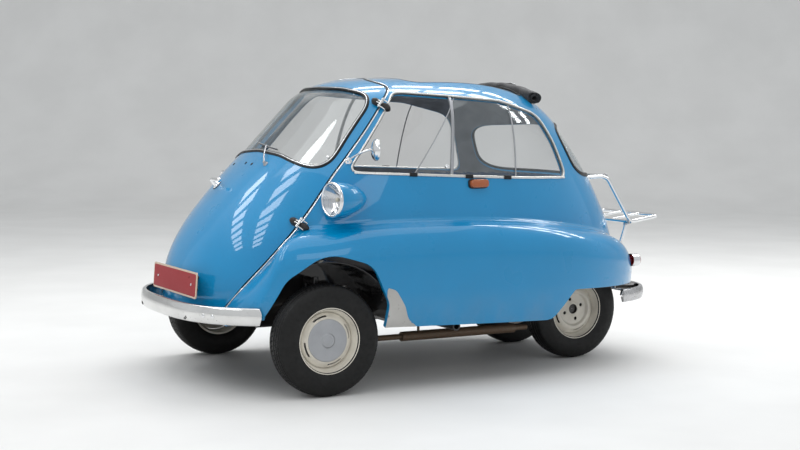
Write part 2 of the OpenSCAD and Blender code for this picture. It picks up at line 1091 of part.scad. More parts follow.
module tail_lamps() {
    color([0.7, 0.05, 0.05])
        resize([0, 0, 0])
            difference() {
                for (s = [-1, 1])
                    translate([s * 425, 930, 478])
                        rotate([-90, 0, 0])
                            cylinder(d = 62, h = 106, $fn = 24);
                body_solid(0);
            }
}

module wing_mirror() {
    color(chrome)
        resize([0, 0, 0])
            difference() {
                union() {
                    $fn = 20;
                    rod_chain([[470, -596, 964], [556, -560, 1012], [590, -514, 1026]], 8);
                    translate([600, -520, 1026])
                        rotate([-90, 0, -10])
                            cylinder(d = 92, h = 14);
                }
                body_solid(0);
            }
}

roll_arc_r = 1250;
roll_place = [0, 466, 1302];

// Rolled-up roof, arched like the roof that it lies on.
module canvas_roof() {
    color(canvas_grey)
        resize([0, 0, 0])
            difference() {
                translate(roll_place + [0, 0, -roll_arc_r])
                    rotate([90, 0, 0])
                        rotate([0, 0, 74])
                            rotate_extrude(angle = 32, $fn = 120)
                                translate([roll_arc_r, 0])
                                    circle(r = roll_r, $fn = 20);
                body_solid(0);
            }
}

guard_corners = [[-505, 275, 0], [-488, 452, 12], [-412, 368, 40], [-348, 272, 0]];

module stone_guards() {
    color(steel_grey)
        resize([0, 0, 0])
            intersection() {
                difference() {
                    body_solid(-1.5);
                    body_solid(0);
                }
                for (s = [0, 1])
                    mirror([s, 0, 0])
                        side_prism(rounded(guard_corners), 300, 800);
            }
}

// ---------------------------------------------------------------- door and steering

hinge_low = [505, -823, 722];
hinge_high = [443, -404, 1226];
hinge_dir = (hinge_high - hinge_low) / norm(hinge_high - hinge_low);

module along_hinge(p) {
    translate(p)
        rotate([0, acos(hinge_dir[2]), atan2(hinge_dir[1], hinge_dir[0])])
            children();
}

module hinge_barrel(p, z0, z1) {
    along_hinge(p)
        translate([0, 0, z0])
            cylinder(d = 22, h = z1 - z0);
}

module hinge_pin(p, d, half) {
    along_hinge(p)
        translate([0, 0, -half])
            cylinder(d = d, h = 2 * half);
}

// Outward direction at the hinges, square to the hinge line, and the direction across the seam.
hinge_out = [0.775, -0.437, 0.4575];
hinge_across = cross(hinge_dir, hinge_out);
hinge_reach = 38;
hinge_sink = 32;
hinge_pin_d = 10;

function hinge_foot(p, side) = p + hinge_across * hinge_reach * side - hinge_out * hinge_sink;

module body_hinges() {
    color(rubber_black)
        for (p = [hinge_low, hinge_high])
            union() {
                hinge_barrel(p, 13, 30);
                hinge_barrel(p, -30, -13);
                hinge_pin(p, hinge_pin_d, 30);
                for (d = [-21.5, 21.5])
                    rod(p + hinge_dir * d, hinge_foot(p, 1) + hinge_dir * d, 12);
            }
}

module door_hinge_arms() {
    color(rubber_black)
        for (p = [hinge_low, hinge_high])
            difference() {
                union() {
                    hinge_barrel(p, -12, 12);
                    rod(p, hinge_foot(p, -1), 14);
                }
                hinge_pin(p, hinge_pin_d + 2 * pin_gap, 40);
            }
}

module door_handle() {
    color(chrome)
        resize([0, 0, 0]) {
            $fn = 20;
            difference() {
                rod_chain([[-20, -1014, 872], [-120, -1010, 868], [-120, -920, 850]], 14);
                body_solid(0);
            }
        }
}

module wiper() {
    color(rubber_black)
        resize([0, 0, 0]) {
            $fn = 16;
            difference() {
                union() {
                    rod([165, -852, 966], [165, -806, 943], 16);
                    rod_chain([[165, -848, 964], [150, -826, 1000], [80, -800, 1029]], 7);
                    rod([-60, -808, 1036], [160, -792, 1014], 8);
                }
                body_solid(0);
            }
        }
}

module number_plate() {
    color([0.62, 0.16, 0.13])
        resize([0, 0, 0])
            difference() {
                translate([-230, -1200, 394])
                    rotate([-4, 0, 0])
                        cube([520, 16, 112]);
                body_solid(0);
            }
}

column_top = [170, -590, 735];
column_dir = [0, -0.66, -0.7513];
column_len = 430;

column_tilt = atan2(-column_dir[1], -column_dir[2]);
shaft_r = 8;

// Column tube with the shaft's end for the wheel, and its bracket to the door.
module steering_column() {
    color(frame_black)
        resize([0, 0, 0])
            intersection() {
                body_solid(door_wall);
                union() {
                    rod(column_top + column_dir * 20, column_top + column_dir * column_len, 34);
                    rod(column_top - column_dir * 8, column_top + column_dir * 40, 2 * shaft_r);
                    rod(column_top + column_dir * 150, [170, -960, 800], 26);
                }
            }
}

module steering_wheel() {
    color(cream)
        translate(column_top)
            rotate([-column_tilt, 0, 0])
                difference() {
                    union() {
                        rotate_extrude()
                            translate([steering_wheel_d / 2 - 11, 0])
                                circle(d = 22);
                        cylinder(d = 54, h = 28, center = true);
                        for (a = [90, 210, 330])
                            rotate([0, 0, a])
                                rotate([0, 90, 0])
                                    cylinder(d = 13, h = steering_wheel_d / 2 - 12);
                    }
                    translate([0, 0, -15])
                        cylinder(r = shaft_r + pin_gap, h = 24);
                }
}

cabin_shell();
left_side_panel();
right_side_panel();
tail_panel();
engine_lid();
lid_hinge_pin();
wheel_housings();
floor_pan();
rear_bulkhead();
chassis_frame();
engine_block();
kingpin_posts();
left_knuckle();
right_knuckle();
left_front_rim();
left_front_tyre();
left_hub_cap();
right_front_rim();
right_front_tyre();
right_hub_cap();
rear_axle();
axle_case();
rear_rims();
left_rear_tyre();
right_rear_tyre();
leaf_springs();
exhaust_pipe();
front_bumper();
rear_bumper();
luggage_rack();
headlamp_pods();
headlamp_lenses();
side_indicators();
tail_lamps();
wing_mirror();
left_side_windows();
right_side_windows();
rear_window();
canvas_roof();
body_hinges();
stone_guards();
bench_cushion();
bench_back();
bench_base();
gear_lever();
pedals();
front_door();
windscreen();
door_handle();
wiper();
door_hinge_arms();
number_plate();
steering_column();
steering_wheel();
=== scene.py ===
"""Looks of the bubble car: skins, trim, wheels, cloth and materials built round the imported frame."""

import math

import bpy
import numpy as np
from mathutils import Matrix, Vector


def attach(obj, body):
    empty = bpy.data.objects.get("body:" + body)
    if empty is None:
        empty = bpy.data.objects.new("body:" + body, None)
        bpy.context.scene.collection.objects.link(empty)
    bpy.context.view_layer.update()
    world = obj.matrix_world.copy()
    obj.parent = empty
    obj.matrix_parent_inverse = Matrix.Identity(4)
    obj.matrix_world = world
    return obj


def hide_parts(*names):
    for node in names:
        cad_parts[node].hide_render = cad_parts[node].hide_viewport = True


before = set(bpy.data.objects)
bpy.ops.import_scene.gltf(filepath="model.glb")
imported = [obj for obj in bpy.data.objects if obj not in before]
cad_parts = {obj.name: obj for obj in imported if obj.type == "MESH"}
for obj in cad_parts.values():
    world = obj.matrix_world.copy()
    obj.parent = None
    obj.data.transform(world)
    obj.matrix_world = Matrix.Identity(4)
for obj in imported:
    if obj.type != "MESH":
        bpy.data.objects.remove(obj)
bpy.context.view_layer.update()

MM = 0.001
UP = np.array([0.0, 0.0, 1.0])

# ---------------------------------------------------------------- materials


def new_material(name, color, rough, metallic=0.0, coat=0.0, ior=1.5):
    """A principled material. Returns it with its node tree and shader."""
    mat = bpy.data.materials.new(name)
    mat.use_nodes = True
    shader = mat.node_tree.nodes["Principled BSDF"]
    shader.inputs["Base Color"].default_value = (*color, 1)
    shader.inputs["Roughness"].default_value = rough
    shader.inputs["Metallic"].default_value = metallic
    shader.inputs["Coat Weight"].default_value = coat
    shader.inputs["Coat Roughness"].default_value = 0.03
    shader.inputs["IOR"].default_value = ior
    return mat, mat.node_tree, shader


def noise(tree, scale, detail):
    """Noise in the object's own space, in waves per metre."""
    place = tree.nodes.new("ShaderNodeTexCoord")
    tex = tree.nodes.new("ShaderNodeTexNoise")
    tex.inputs["Scale"].default_value = scale
    tex.inputs["Detail"].default_value = detail
    tree.links.new(place.outputs["Object"], tex.inputs["Vector"])
    return tex.outputs["Fac"]


def bands(tree, axis, per_metre, distortion=0.0):
    """Waves across one axis of the object's own space, about this many in a metre."""
    place = tree.nodes.new("ShaderNodeTexCoord")
    wave = tree.nodes.new("ShaderNodeTexWave")
    wave.bands_direction = axis
    wave.inputs["Scale"].default_value = per_metre / 3
    wave.inputs["Distortion"].default_value = distortion
    tree.links.new(place.outputs["Object"], wave.inputs["Vector"])
    return wave.outputs["Fac"]


def tinted(color, share):
    return tuple(c * share for c in color)


def as_color(value):
    """A colour, or a grey level, with full alpha."""
    return (*value, 1) if hasattr(value, "__len__") else (value, value, value, 1)


def ramp(tree, value, low, high, start=0.0, end=1.0):
    """Maps a value between start and end to a colour or grey between low and high."""
    node = tree.nodes.new("ShaderNodeValToRGB")
    node.color_ramp.elements[0].position = start
    node.color_ramp.elements[0].color = as_color(low)
    node.color_ramp.elements[1].position = end
    node.color_ramp.elements[1].color = as_color(high)
    tree.links.new(value, node.inputs["Fac"])
    return node.outputs["Color"]


def bump(tree, shader, value, distance, strength):
    """Raises the surface by value, at most by this distance in metres."""
    node = tree.nodes.new("ShaderNodeBump")
    node.inputs["Distance"].default_value = distance
    node.inputs["Strength"].default_value = strength
    tree.links.new(value, node.inputs["Height"])
    tree.links.new(node.outputs["Normal"], shader.inputs["Normal"])


def layer(tree, base, top, amount):
    """Colour top laid over colour base by amount."""
    node = tree.nodes.new("ShaderNodeMix")
    node.data_type = "RGBA"
    tree.links.new(amount, node.inputs["Factor"])
    for socket, value in ((node.inputs[6], base), (node.inputs[7], top)):
        if hasattr(value, "default_value"):
            tree.links.new(value, socket)
        else:
            socket.default_value = as_color(value)
    return node.outputs[2]


def height_mask(tree, low, high):
    """1 at and below the height low, 0 at high and above, in metres."""
    place = tree.nodes.new("ShaderNodeTexCoord")
    split = tree.nodes.new("ShaderNodeSeparateXYZ")
    span = tree.nodes.new("ShaderNodeMapRange")
    tree.links.new(place.outputs["Object"], split.inputs["Vector"])
    tree.links.new(split.outputs["Z"], span.inputs["Value"])
    for key, value in (("From Min", low), ("From Max", high), ("To Min", 1), ("To Max", 0)):
        span.inputs[key].default_value = value
    return span.outputs["Result"]


def multiply(tree, a, b):
    """Product of two node outputs."""
    node = tree.nodes.new("ShaderNodeMath")
    node.operation = "MULTIPLY"
    tree.links.new(a, node.inputs[0])
    tree.links.new(b, node.inputs[1])
    return node.outputs["Value"]


# Height up to which the dust is at its thickest, in metres
ALL_DUST_Z = 0.23


def paint(name, color, dust=(0.3, 0.29, 0.27), dust_top=0.42, rough=0.3, dirt=0.16, coat=1.0):
    """Gloss enamel with a clear coat, faint mottling, orange peel and road dust low down."""
    mat, tree, shader = new_material(name, color, rough, coat=coat)
    shader.inputs["Specular IOR Level"].default_value = 0.15
    mottled = ramp(tree, noise(tree, 3.5, 3), tinted(color, 0.94), color, 0.35, 0.65)
    low_down = height_mask(tree, ALL_DUST_Z, dust_top)
    grime = multiply(tree, low_down, ramp(tree, noise(tree, 9, 8), 0, dirt, 0.4, 0.7))
    tree.links.new(layer(tree, mottled, dust, grime), shader.inputs["Base Color"])
    smear = ramp(tree, noise(tree, 8, 5), rough - 0.04, rough + 0.05, 0.3, 0.7)
    tree.links.new(smear, shader.inputs["Roughness"])
    bump(tree, shader, noise(tree, 260, 2), 0.00005, 0.06)
    return mat


def worn_metal(name, color, rough, grain=60, spots=(0.1, 0.06, 0.035), spot_share=0.0):
    """Bare or plated metal with smeared gloss and, by spot_share, rust spots."""
    mat, tree, shader = new_material(name, color, rough, metallic=1.0)
    base = ramp(tree, noise(tree, 9, 6), tinted(color, 0.86), color, 0.3, 0.7)
    if spot_share:
        rust = ramp(tree, noise(tree, grain * 2.2, 10), 0, 1, 0.72 - spot_share, 0.8 - spot_share)
        base = layer(tree, base, spots, rust)
        tree.links.new(ramp(tree, rust, 1, 0.1), shader.inputs["Metallic"])
    tree.links.new(base, shader.inputs["Base Color"])
    smear = ramp(tree, noise(tree, grain, 8), max(0.02, rough - 0.05), rough + 0.1, 0.3, 0.75)
    tree.links.new(smear, shader.inputs["Roughness"])
    bump(tree, shader, noise(tree, grain * 5, 4), 0.0001, 0.15)
    return mat


def rubber(name, color=(0.01, 0.01, 0.011), rough=0.55, dust=0.25):
    """Black rubber, greyed by dust, with a fine moulded grain."""
    mat, tree, shader = new_material(name, color, rough)
    shader.inputs["Specular IOR Level"].default_value = 0.3
    grey = tuple(c + 0.02 for c in color)
    dusty = ramp(tree, noise(tree, 30, 8), 0, dust, 0.45, 0.8)
    tree.links.new(layer(tree, color, grey, dusty), shader.inputs["Base Color"])
    smear = ramp(tree, noise(tree, 70, 5), rough - 0.12, rough + 0.15, 0.3, 0.7)
    tree.links.new(smear, shader.inputs["Roughness"])
    bump(tree, shader, noise(tree, 900, 3), 0.0002, 0.25)
    return mat


def woven(name, color, thread):
    """Cloth with crossed threads, this many in a metre, faded patches, and painted shade between the threads.
    """
    mat, tree, shader = new_material(name, color, 0.85)
    shader.inputs["Sheen Weight"].default_value = 0.3
    shader.inputs["Sheen Roughness"].default_value = 0.5
    weave = multiply(tree, bands(tree, "X", thread, 1.2), bands(tree, "Y", thread, 1.2))
    faded = ramp(tree, noise(tree, 12, 6), tinted(color, 0.7), tinted(color, 1.35), 0.3, 0.7)
    # Painted shade: the hollows between the threads are darkened to half the cloth's colour
    between = ramp(tree, weave, 0.35, 0)
    tree.links.new(layer(tree, faded, tinted(color, 0.5), between), shader.inputs["Base Color"])
    bump(tree, shader, weave, 0.0006, 0.5)
    return mat


def clear_glass(name, tint, share, rough=0.02):
    """Thin pane with a mirror gloss that grows at a slant. Share is the gloss seen head on."""
    mat = bpy.data.materials.new(name)
    mat.use_nodes = True
    tree = mat.node_tree
    shader = tree.nodes["Principled BSDF"]
    shader.inputs["Base Color"].default_value = (*tint, 1)
    shader.inputs["Roughness"].default_value = rough
    shader.inputs["Metallic"].default_value = 1.0
    slant = tree.nodes.new("ShaderNodeLayerWeight")
    slant.inputs["Blend"].default_value = 0.5
    steep = tree.nodes.new("ShaderNodeMath")
    steep.operation = "POWER"
    steep.inputs[1].default_value = 5.0
    tree.links.new(slant.outputs["Facing"], steep.inputs[0])
    tree.links.new(ramp(tree, steep.outputs["Value"], share, 0.9), shader.inputs["Alpha"])
    smudge = ramp(tree, noise(tree, 5, 4), rough, rough + 0.01, 0.4, 0.8)
    tree.links.new(smudge, shader.inputs["Roughness"])
    return mat


def lens_plastic(name, color):
    """Coloured lamp lens with moulded ribs."""
    mat, tree, shader = new_material(name, color, 0.12, coat=0.6)
    shader.inputs["Transmission Weight"].default_value = 0.35
    mottled = ramp(tree, noise(tree, 40, 4), tinted(color, 0.75), color)
    tree.links.new(mottled, shader.inputs["Base Color"])
    bump(tree, shader, bands(tree, "Y", 260), 0.0008, 0.6)
    return mat


def ribbed_lamp_glass():
    mat = clear_glass("ribbed_glass", (0.85, 0.88, 0.9), 0.12, rough=0.05)
    tree = mat.node_tree
    bump(tree, tree.nodes["Principled BSDF"], bands(tree, "X", 78), 0.002, 0.5)
    return mat


# Paint
BLUE = (0.0, 0.235, 0.5)
body_paint = paint("body_enamel", BLUE)
# Inner faces: the body blue darkened to about a third, painted shade of the cabin's inside
shaded_inner_paint = paint("inner_enamel_shaded", (0.006, 0.06, 0.17), rough=0.45)
BRAKE_DUST = (0.12, 0.09, 0.06)
wheel_paint = paint("wheel_enamel", (0.74, 0.7, 0.61), BRAKE_DUST, dust_top=0.5, rough=0.4, dirt=0.35)
MUD = (0.07, 0.055, 0.04)
under_black = paint("chassis_black", (0.008, 0.008, 0.009), MUD, dust_top=0.6, rough=0.5, dirt=0.4)
plate_red = paint("plate_enamel", (0.3, 0.018, 0.024), rough=0.45, coat=0.15)
plate_edge = paint("plate_border", (0.6, 0.45, 0.33), rough=0.35)
ivory = paint("ivory_plastic", (0.62, 0.58, 0.46), rough=0.3)

# Metal
cap_metal = worn_metal("cap_metal", (0.42, 0.43, 0.45), 0.42, grain=30)
chrome = worn_metal("chrome_plate", (0.86, 0.87, 0.88), 0.1, grain=24)
pitted_chrome = worn_metal("pitted_chrome", (0.78, 0.78, 0.77), 0.16, grain=70, spot_share=0.05)
worn_chrome = worn_metal("worn_chrome", (0.55, 0.55, 0.56), 0.26, grain=50, spot_share=0.1)
BROWN_SPOTS = (0.3, 0.2, 0.1)
window_frame = worn_metal("window_frame", (0.74, 0.73, 0.7), 0.3, 90, BROWN_SPOTS, spot_share=0.08)
GREY_SPOTS = (0.16, 0.14, 0.12)
guard_metal = worn_metal("guard_metal", (0.5, 0.49, 0.47), 0.34, 16, GREY_SPOTS, spot_share=0.1)
mirror_bowl = worn_metal("lamp_bowl", (0.62, 0.63, 0.65), 0.1, grain=12)
steel = worn_metal("plain_steel", (0.35, 0.34, 0.33), 0.4, spot_share=0.12)
rusty = worn_metal("rusty_steel", (0.2, 0.16, 0.12), 0.55, spots=(0.14, 0.085, 0.05), spot_share=0.3)
alloy = worn_metal("cast_alloy", (0.5, 0.5, 0.5), 0.45)

# Rubber, cloth and glass
tyre_rubber = rubber("tyre_black", (0.004, 0.004, 0.004), rough=0.5, dust=0.2)
seal_rubber = rubber("seal_black", rough=0.4, dust=0.15)
pad_rubber = rubber("pad_grey_black", (0.028, 0.025, 0.024), rough=0.45, dust=0.4)
strap_hide = rubber("strap_hide", (0.03, 0.028, 0.027), 0.5)
trim_grey = woven("grey_lining", (0.2, 0.22, 0.25), 600)
canvas_cloth = woven("roof_canvas", (0.016, 0.017, 0.02), 1000)
seat_cloth = woven("seat_cloth", (0.13, 0.12, 0.115), 700)
glass = clear_glass("pane_glass", (0.8, 0.85, 0.85), 0.07, rough=0.01)
ribbed_glass = ribbed_lamp_glass()
amber = lens_plastic("amber_lens", (0.62, 0.14, 0.02))
red_lens = lens_plastic("red_lens", (0.45, 0.01, 0.01))

# ---------------------------------------------------------------- mesh helpers


def make(name, points, faces, material, body, node=None, normals=None):
    """A smooth mesh piece from points in millimetres, riding on a body, in place of a frame node."""
    mesh = bpy.data.meshes.new(name)
    mesh.from_pydata((np.asarray(points, float) * MM).tolist(), [], list(faces))
    mesh.polygons.foreach_set("use_smooth", [True] * len(mesh.polygons))
    mesh.update()
    if normals is not None:
        mesh.normals_split_custom_set_from_vertices(np.asarray(normals, float).tolist())
    mesh.materials.append(material)
    piece = bpy.data.objects.new(name, mesh)
    bpy.context.scene.collection.objects.link(piece)
    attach(piece, body)
    if node:
        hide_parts(node)
    return piece


def unit(v):
    """Vectors brought to length one."""
    v = np.asarray(v, float)
    return v / np.maximum(np.linalg.norm(v, axis=-1, keepdims=True), 1e-12)


def grid_faces(rows, cols, closed_u=False, closed_v=False):
    """Quads of a grid of rows by cols points, closed round a row or a column if asked."""
    r = np.arange(rows if closed_v else rows - 1)
    c = np.arange(cols if closed_u else cols - 1)
    rr, cc = np.meshgrid(r, c, indexing="ij")
    r2, c2 = (rr + 1) % rows, (cc + 1) % cols
    quads = np.stack([rr * cols + cc, rr * cols + c2, r2 * cols + c2, r2 * cols + cc], -1)
    return quads.reshape(-1, 4)


def joined(parts):
    """Several (points, faces, normals) as one."""
    points, faces, normals, start = [], [], [], 0
    for p, f, n in parts:
        points.append(p)
        faces += [[i + start for i in face] for face in f]
        normals.append(n)
        start += len(p)
    return np.vstack(points), faces, np.vstack(normals)


def make_joined(name, parts, material, body, node=None):
    """One piece from several (points, faces, normals)."""
    points, faces, normals = joined(parts)
    return make(name, points, faces, material, body, node, normals)


def spline(points, steps=8, closed=False):
    """Catmull-Rom curve through the points."""
    p = np.asarray(points, float)
    n = len(p)
    out = []
    for i in range(n if closed else n - 1):
        p1, p2 = p[i], p[(i + 1) % n]
        p0 = p[i - 1] if (i or closed) else 2 * p1 - p2
        p3 = p[(i + 2) % n] if (closed or i + 2 < n) else 2 * p2 - p1
        for k in range(steps):
            t = k / steps
            bend = 2 * p1 + (p2 - p0) * t + (2 * p0 - 5 * p1 + 4 * p2 - p3) * t**2
            out.append(0.5 * (bend + (3 * p1 - p0 - 3 * p2 + p3) * t**3))
    if not closed:
        out.append(p[-1])
    return np.array(out)


def corner_curve(start, corner, end, steps):
    """Points of a curve that leaves start and reaches end in line with the corner."""
    return [start * (1 - t) ** 2 + corner * 2 * t * (1 - t) + end * t**2 for t in np.linspace(0, 1, steps)]


def rounded_path(points, radius, steps):
    """Path whose inner corners are cut this far back and eased by a curve."""
    p = np.asarray(points, float)
    out = [p[0]]
    for i in range(1, len(p) - 1):
        a, b = p[i - 1] - p[i], p[i + 1] - p[i]
        cut = min(radius, 0.45 * np.linalg.norm(a), 0.45 * np.linalg.norm(b))
        out += corner_curve(p[i] + unit(a) * cut, p[i], p[i] + unit(b) * cut, steps)
    return np.array(out + [p[-1]])


def tangents(path, closed=False):
    """Direction of a path at each of its points."""
    if closed:
        return unit(np.roll(path, -1, 0) - np.roll(path, 1, 0))
    return unit(np.gradient(path, axis=0))


def facing(points, faces, normals):
    """The faces turned so that they look the way the normals point."""
    some = np.array([f for f in faces[:: max(1, len(faces) // 60)] if len(f) == 4])
    p = points[some]
    flat = np.cross(p[:, 2] - p[:, 0], p[:, 3] - p[:, 1])
    if (flat * normals[some].sum(1)).sum() < 0:
        return [f[::-1] for f in faces]
    return faces


def sweep(path, across, out, profile, closed=False):
    """Profile of (across, out) points carried along a path, its ends closed if it is open."""
    prof = np.asarray(profile, float)
    pts = path[:, None] + across[:, None] * prof[None, :, :1] + out[:, None] * prof[None, :, 1:]
    d = np.roll(prof, -1, 0) - np.roll(prof, 1, 0)
    nrm = unit(np.stack([d[:, 1], -d[:, 0]], -1))
    normals = across[:, None] * nrm[None, :, :1] + out[:, None] * nrm[None, :, 1:]
    rows, cols = pts.shape[:2]
    faces = grid_faces(rows, cols, closed_u=True, closed_v=closed).tolist()
    pts, normals = pts.reshape(-1, 3), unit(normals.reshape(-1, 3))
    if profile_area(prof) < 0:
        normals = -normals
    faces = facing(pts, faces, normals)
    if not closed:
        faces += [list(range(cols)), [(rows - 1) * cols + i for i in range(cols)]]
    return pts, faces, normals


def profile_area(profile):
    """Signed area of a closed profile."""
    after = np.roll(profile, -1, 0)
    return float((profile[:, 0] * after[:, 1] - after[:, 0] * profile[:, 1]).sum() / 2)


def circle(radius, count, squash=1.0):
    """Ring of (across, out) points."""
    a = np.linspace(0, 2 * np.pi, count, endpoint=False)
    return np.stack([radius * np.cos(a), radius * squash * np.sin(a)], -1)


def frames(path, closed=False):
    """Two directions square to the path at each point, carried along without twist."""
    t = tangents(path, closed)
    out = []
    ref = UP - t[0] * (UP @ t[0])
    if np.linalg.norm(ref) < 1e-6:
        ref = np.cross(t[0], [1.0, 0.3, 0.1])
    for v in t:
        ref = unit(ref - v * (ref @ v))
        out.append(ref)
    out = np.array(out)
    return np.cross(out, t), out


def tube(path, radius, sides, closed=False):
    """Round tube along a path."""
    path = np.asarray(path, float)
    across, out = frames(path, closed)
    return sweep(path, across, out, circle(radius, sides), closed)


def lathe(profile, centre, axis, segments=96):
    """Turned solid: (along, radius) points round an axis through centre."""
    prof = np.asarray(profile, float)
    axis = unit(axis)
    side = unit(np.cross(axis, [0.31, 0.22, 0.93]))
    other = np.cross(axis, side)
    a = np.linspace(0, 2 * np.pi, segments, endpoint=False)
    ring = np.cos(a)[:, None] * side + np.sin(a)[:, None] * other
    pts = np.asarray(centre, float) + prof[:, None, :1] * axis + prof[:, None, 1:] * ring[None]
    d = np.gradient(prof, axis=0)
    nrm = unit(np.stack([-d[:, 1], d[:, 0]], -1))
    normals = nrm[:, None, :1] * axis + nrm[:, None, 1:] * ring[None]
    pts, normals = pts.reshape(-1, 3), unit(normals.reshape(-1, 3))
    return pts, facing(pts, grid_faces(len(prof), segments, closed_u=True).tolist(), normals), normals


def outward_faces(faces, points):
    """The faces, turned if one of them looks towards the origin of the points."""
    p = points[faces[len(faces) // 3]]
    n = np.cross(p[1] - p[0], p[2] - p[0])
    return faces if n @ p.mean(0) > 0 else [f[::-1] for f in faces]

# ---------------------------------------------------------------- body surface

# Lines plan of the cabin in millimetres, from the ground side up: height, front, rear, half width
# as a share of the widest, place of the widest point, front and rear squareness.
CABIN_HALF = 600
BULGE_HALF = 690
BULGE_FRONT, BULGE_REAR, BULGE_MID = -1185, 1105, -250
CABIN_ROWS = np.array(
    [
        [250, -1160, 1050, 0.933, -250, 2.4, 2.45],
        [330, -1190, 1075, 0.967, -250, 2.4, 2.45],
        [400, -1197, 1085, 0.987, -250, 2.4, 2.45],
        [500, -1182, 1075, 0.997, -250, 2.4, 2.45],
        [600, -1140, 1048, 1.000, -250, 2.4, 2.45],
        [700, -1073, 1005, 1.000, -250, 2.4, 2.45],
        [800, -988, 950, 0.992, -230, 2.4, 2.45],
        [904, -890, 885, 0.973, -210, 2.4, 2.45],
        [1000, -790, 815, 0.947, -180, 2.4, 2.45],
        [1096, -697, 738, 0.908, -140, 2.4, 2.40],
        [1188, -612, 648, 0.847, -100, 2.4, 2.35],
        [1255, -548, 550, 0.763, -60, 2.4, 2.30],
        [1305, -450, 445, 0.617, -30, 2.35, 2.25],
        [1332, -320, 330, 0.433, -10, 2.3, 2.2],
        [1343, -130, 170, 0.150, 0, 2.3, 2.2],
    ]
)
# Height of the shoulder crease against the plan angle: -90 is the nose, 90 the tail.
SHOULDER = np.array(
    [
        [-90, 240], [-66, 240], [-58.3, 370], [-50.2, 462], [-44.8, 555], [-41, 640],
        [-37, 682], [-25, 694], [-10, 712], [6, 712], [18, 696], [31, 666], [52, 613],
        [68, 540], [80, 490], [90, 470],
    ]
)
SHOULDER_DROP = 140
SHOULDER_EASE = 26
LOW, HIGH = 250.0, 1343.0


def smooth(rows, v, column):
    """Hermite curve through one column of rows at v."""
    x, y = rows[:, 0], rows[:, column]
    i = np.clip(np.searchsorted(x, v, side="right") - 1, 0, len(x) - 2)
    before, after = np.maximum(np.arange(len(x)) - 1, 0), np.minimum(np.arange(len(x)) + 1, len(x) - 1)
    m = (y[after] - y[before]) / (x[after] - x[before])
    h = x[i + 1] - x[i]
    u = np.clip((v - x[i]) / h, 0, 1)
    return (
        (2 * u**3 - 3 * u**2 + 1) * y[i]
        + (u**3 - 2 * u**2 + u) * m[i] * h
        + (3 * u**2 - 2 * u**3) * y[i + 1]
        + (u**3 - u**2) * m[i + 1] * h
    )


def side_angle(a):
    """Plan angle folded on to one side of the car, in degrees."""
    a = np.radians(a)
    return np.degrees(np.arctan2(np.sin(a), np.abs(np.cos(a))))


def shoulder(a):
    """Height of the shoulder crease at a plan angle."""
    return smooth(SHOULDER, side_angle(a), 1)


def plan_point(half, y0, y1, mid, n0, n1, a):
    """Point at angle a on a rounded plan from y0 to y1, widest at mid, n0 and n1 square at its ends."""
    a = np.radians(a)
    s, c = np.sin(a), np.cos(a)
    n = np.where(s < 0, n0, n1)
    length = np.where(s < 0, mid - y0, y1 - mid)
    return half * np.sign(c) * np.abs(c) ** (2 / n), mid + length * np.sign(s) * np.abs(s) ** (2 / n)


def bulge_share(z, a):
    """How far the side bulge stands out at this level, eased above and below its crease."""
    total = 0.0
    weights = np.hanning(11)[1:-1]
    for k, weight in zip(np.linspace(-1, 1, len(weights)), weights):
        u = np.clip((shoulder(a) - z - k * SHOULDER_EASE) / SHOULDER_DROP, 0, 1)
        total = total + weight * np.sqrt(1 - (1 - u) ** 2)
    return total / weights.sum()


def body_point(z, a):
    """Point of the body's surface at a level and a plan angle, in millimetres."""
    z, a = np.broadcast_arrays(np.asarray(z, float), np.asarray(a, float))
    z = np.clip(z, LOW - 60, HIGH)
    half = CABIN_HALF * smooth(CABIN_ROWS, z, 3)
    cabin = plan_point(half, *(smooth(CABIN_ROWS, z, k) for k in (1, 2, 4, 5, 6)), a)
    tuck = np.clip((420 - z) / 170, 0, 1) ** 2
    ends = (BULGE_FRONT + 20 * tuck, BULGE_REAR - 30 * tuck)
    bulge = plan_point(BULGE_HALF - 30 * tuck, *ends, BULGE_MID, 3.2, 3.0, a)
    r = bulge_share(z, a)
    return np.stack([cabin[0] + (bulge[0] - cabin[0]) * r, cabin[1] + (bulge[1] - cabin[1]) * r, z], -1)


def body_normal(z, a):
    """Outward normal of the body's surface at a level and a plan angle."""
    du = body_point(z, a + 0.4) - body_point(z, a - 0.4)
    dv = body_point(np.minimum(z + 2, HIGH), a) - body_point(z - 2, a)
    return unit(np.cross(du, dv))


def surface_at(z, x=None, y=None, front=True):
    """Plan angle, for the left side, where the surface at level z has this x or y."""
    a = np.linspace(-90, 0, 721) if front else np.linspace(0, 90, 721)
    p = body_point(np.full_like(a, z), a)
    value, want = (p[:, 0], x) if y is None else (p[:, 1], y)
    order = np.argsort(value)
    return float(np.interp(want, value[order], a[order]))


def on_body(z, x=None, y=None, front=True, side=1):
    """Point and outward normal of the surface on one side, given its level and its x or y there."""
    a = surface_at(z, x, y, front)
    if side < 0:
        a = 180 - a
    return body_point(z, a), body_normal(np.array(z, float), np.array(a))


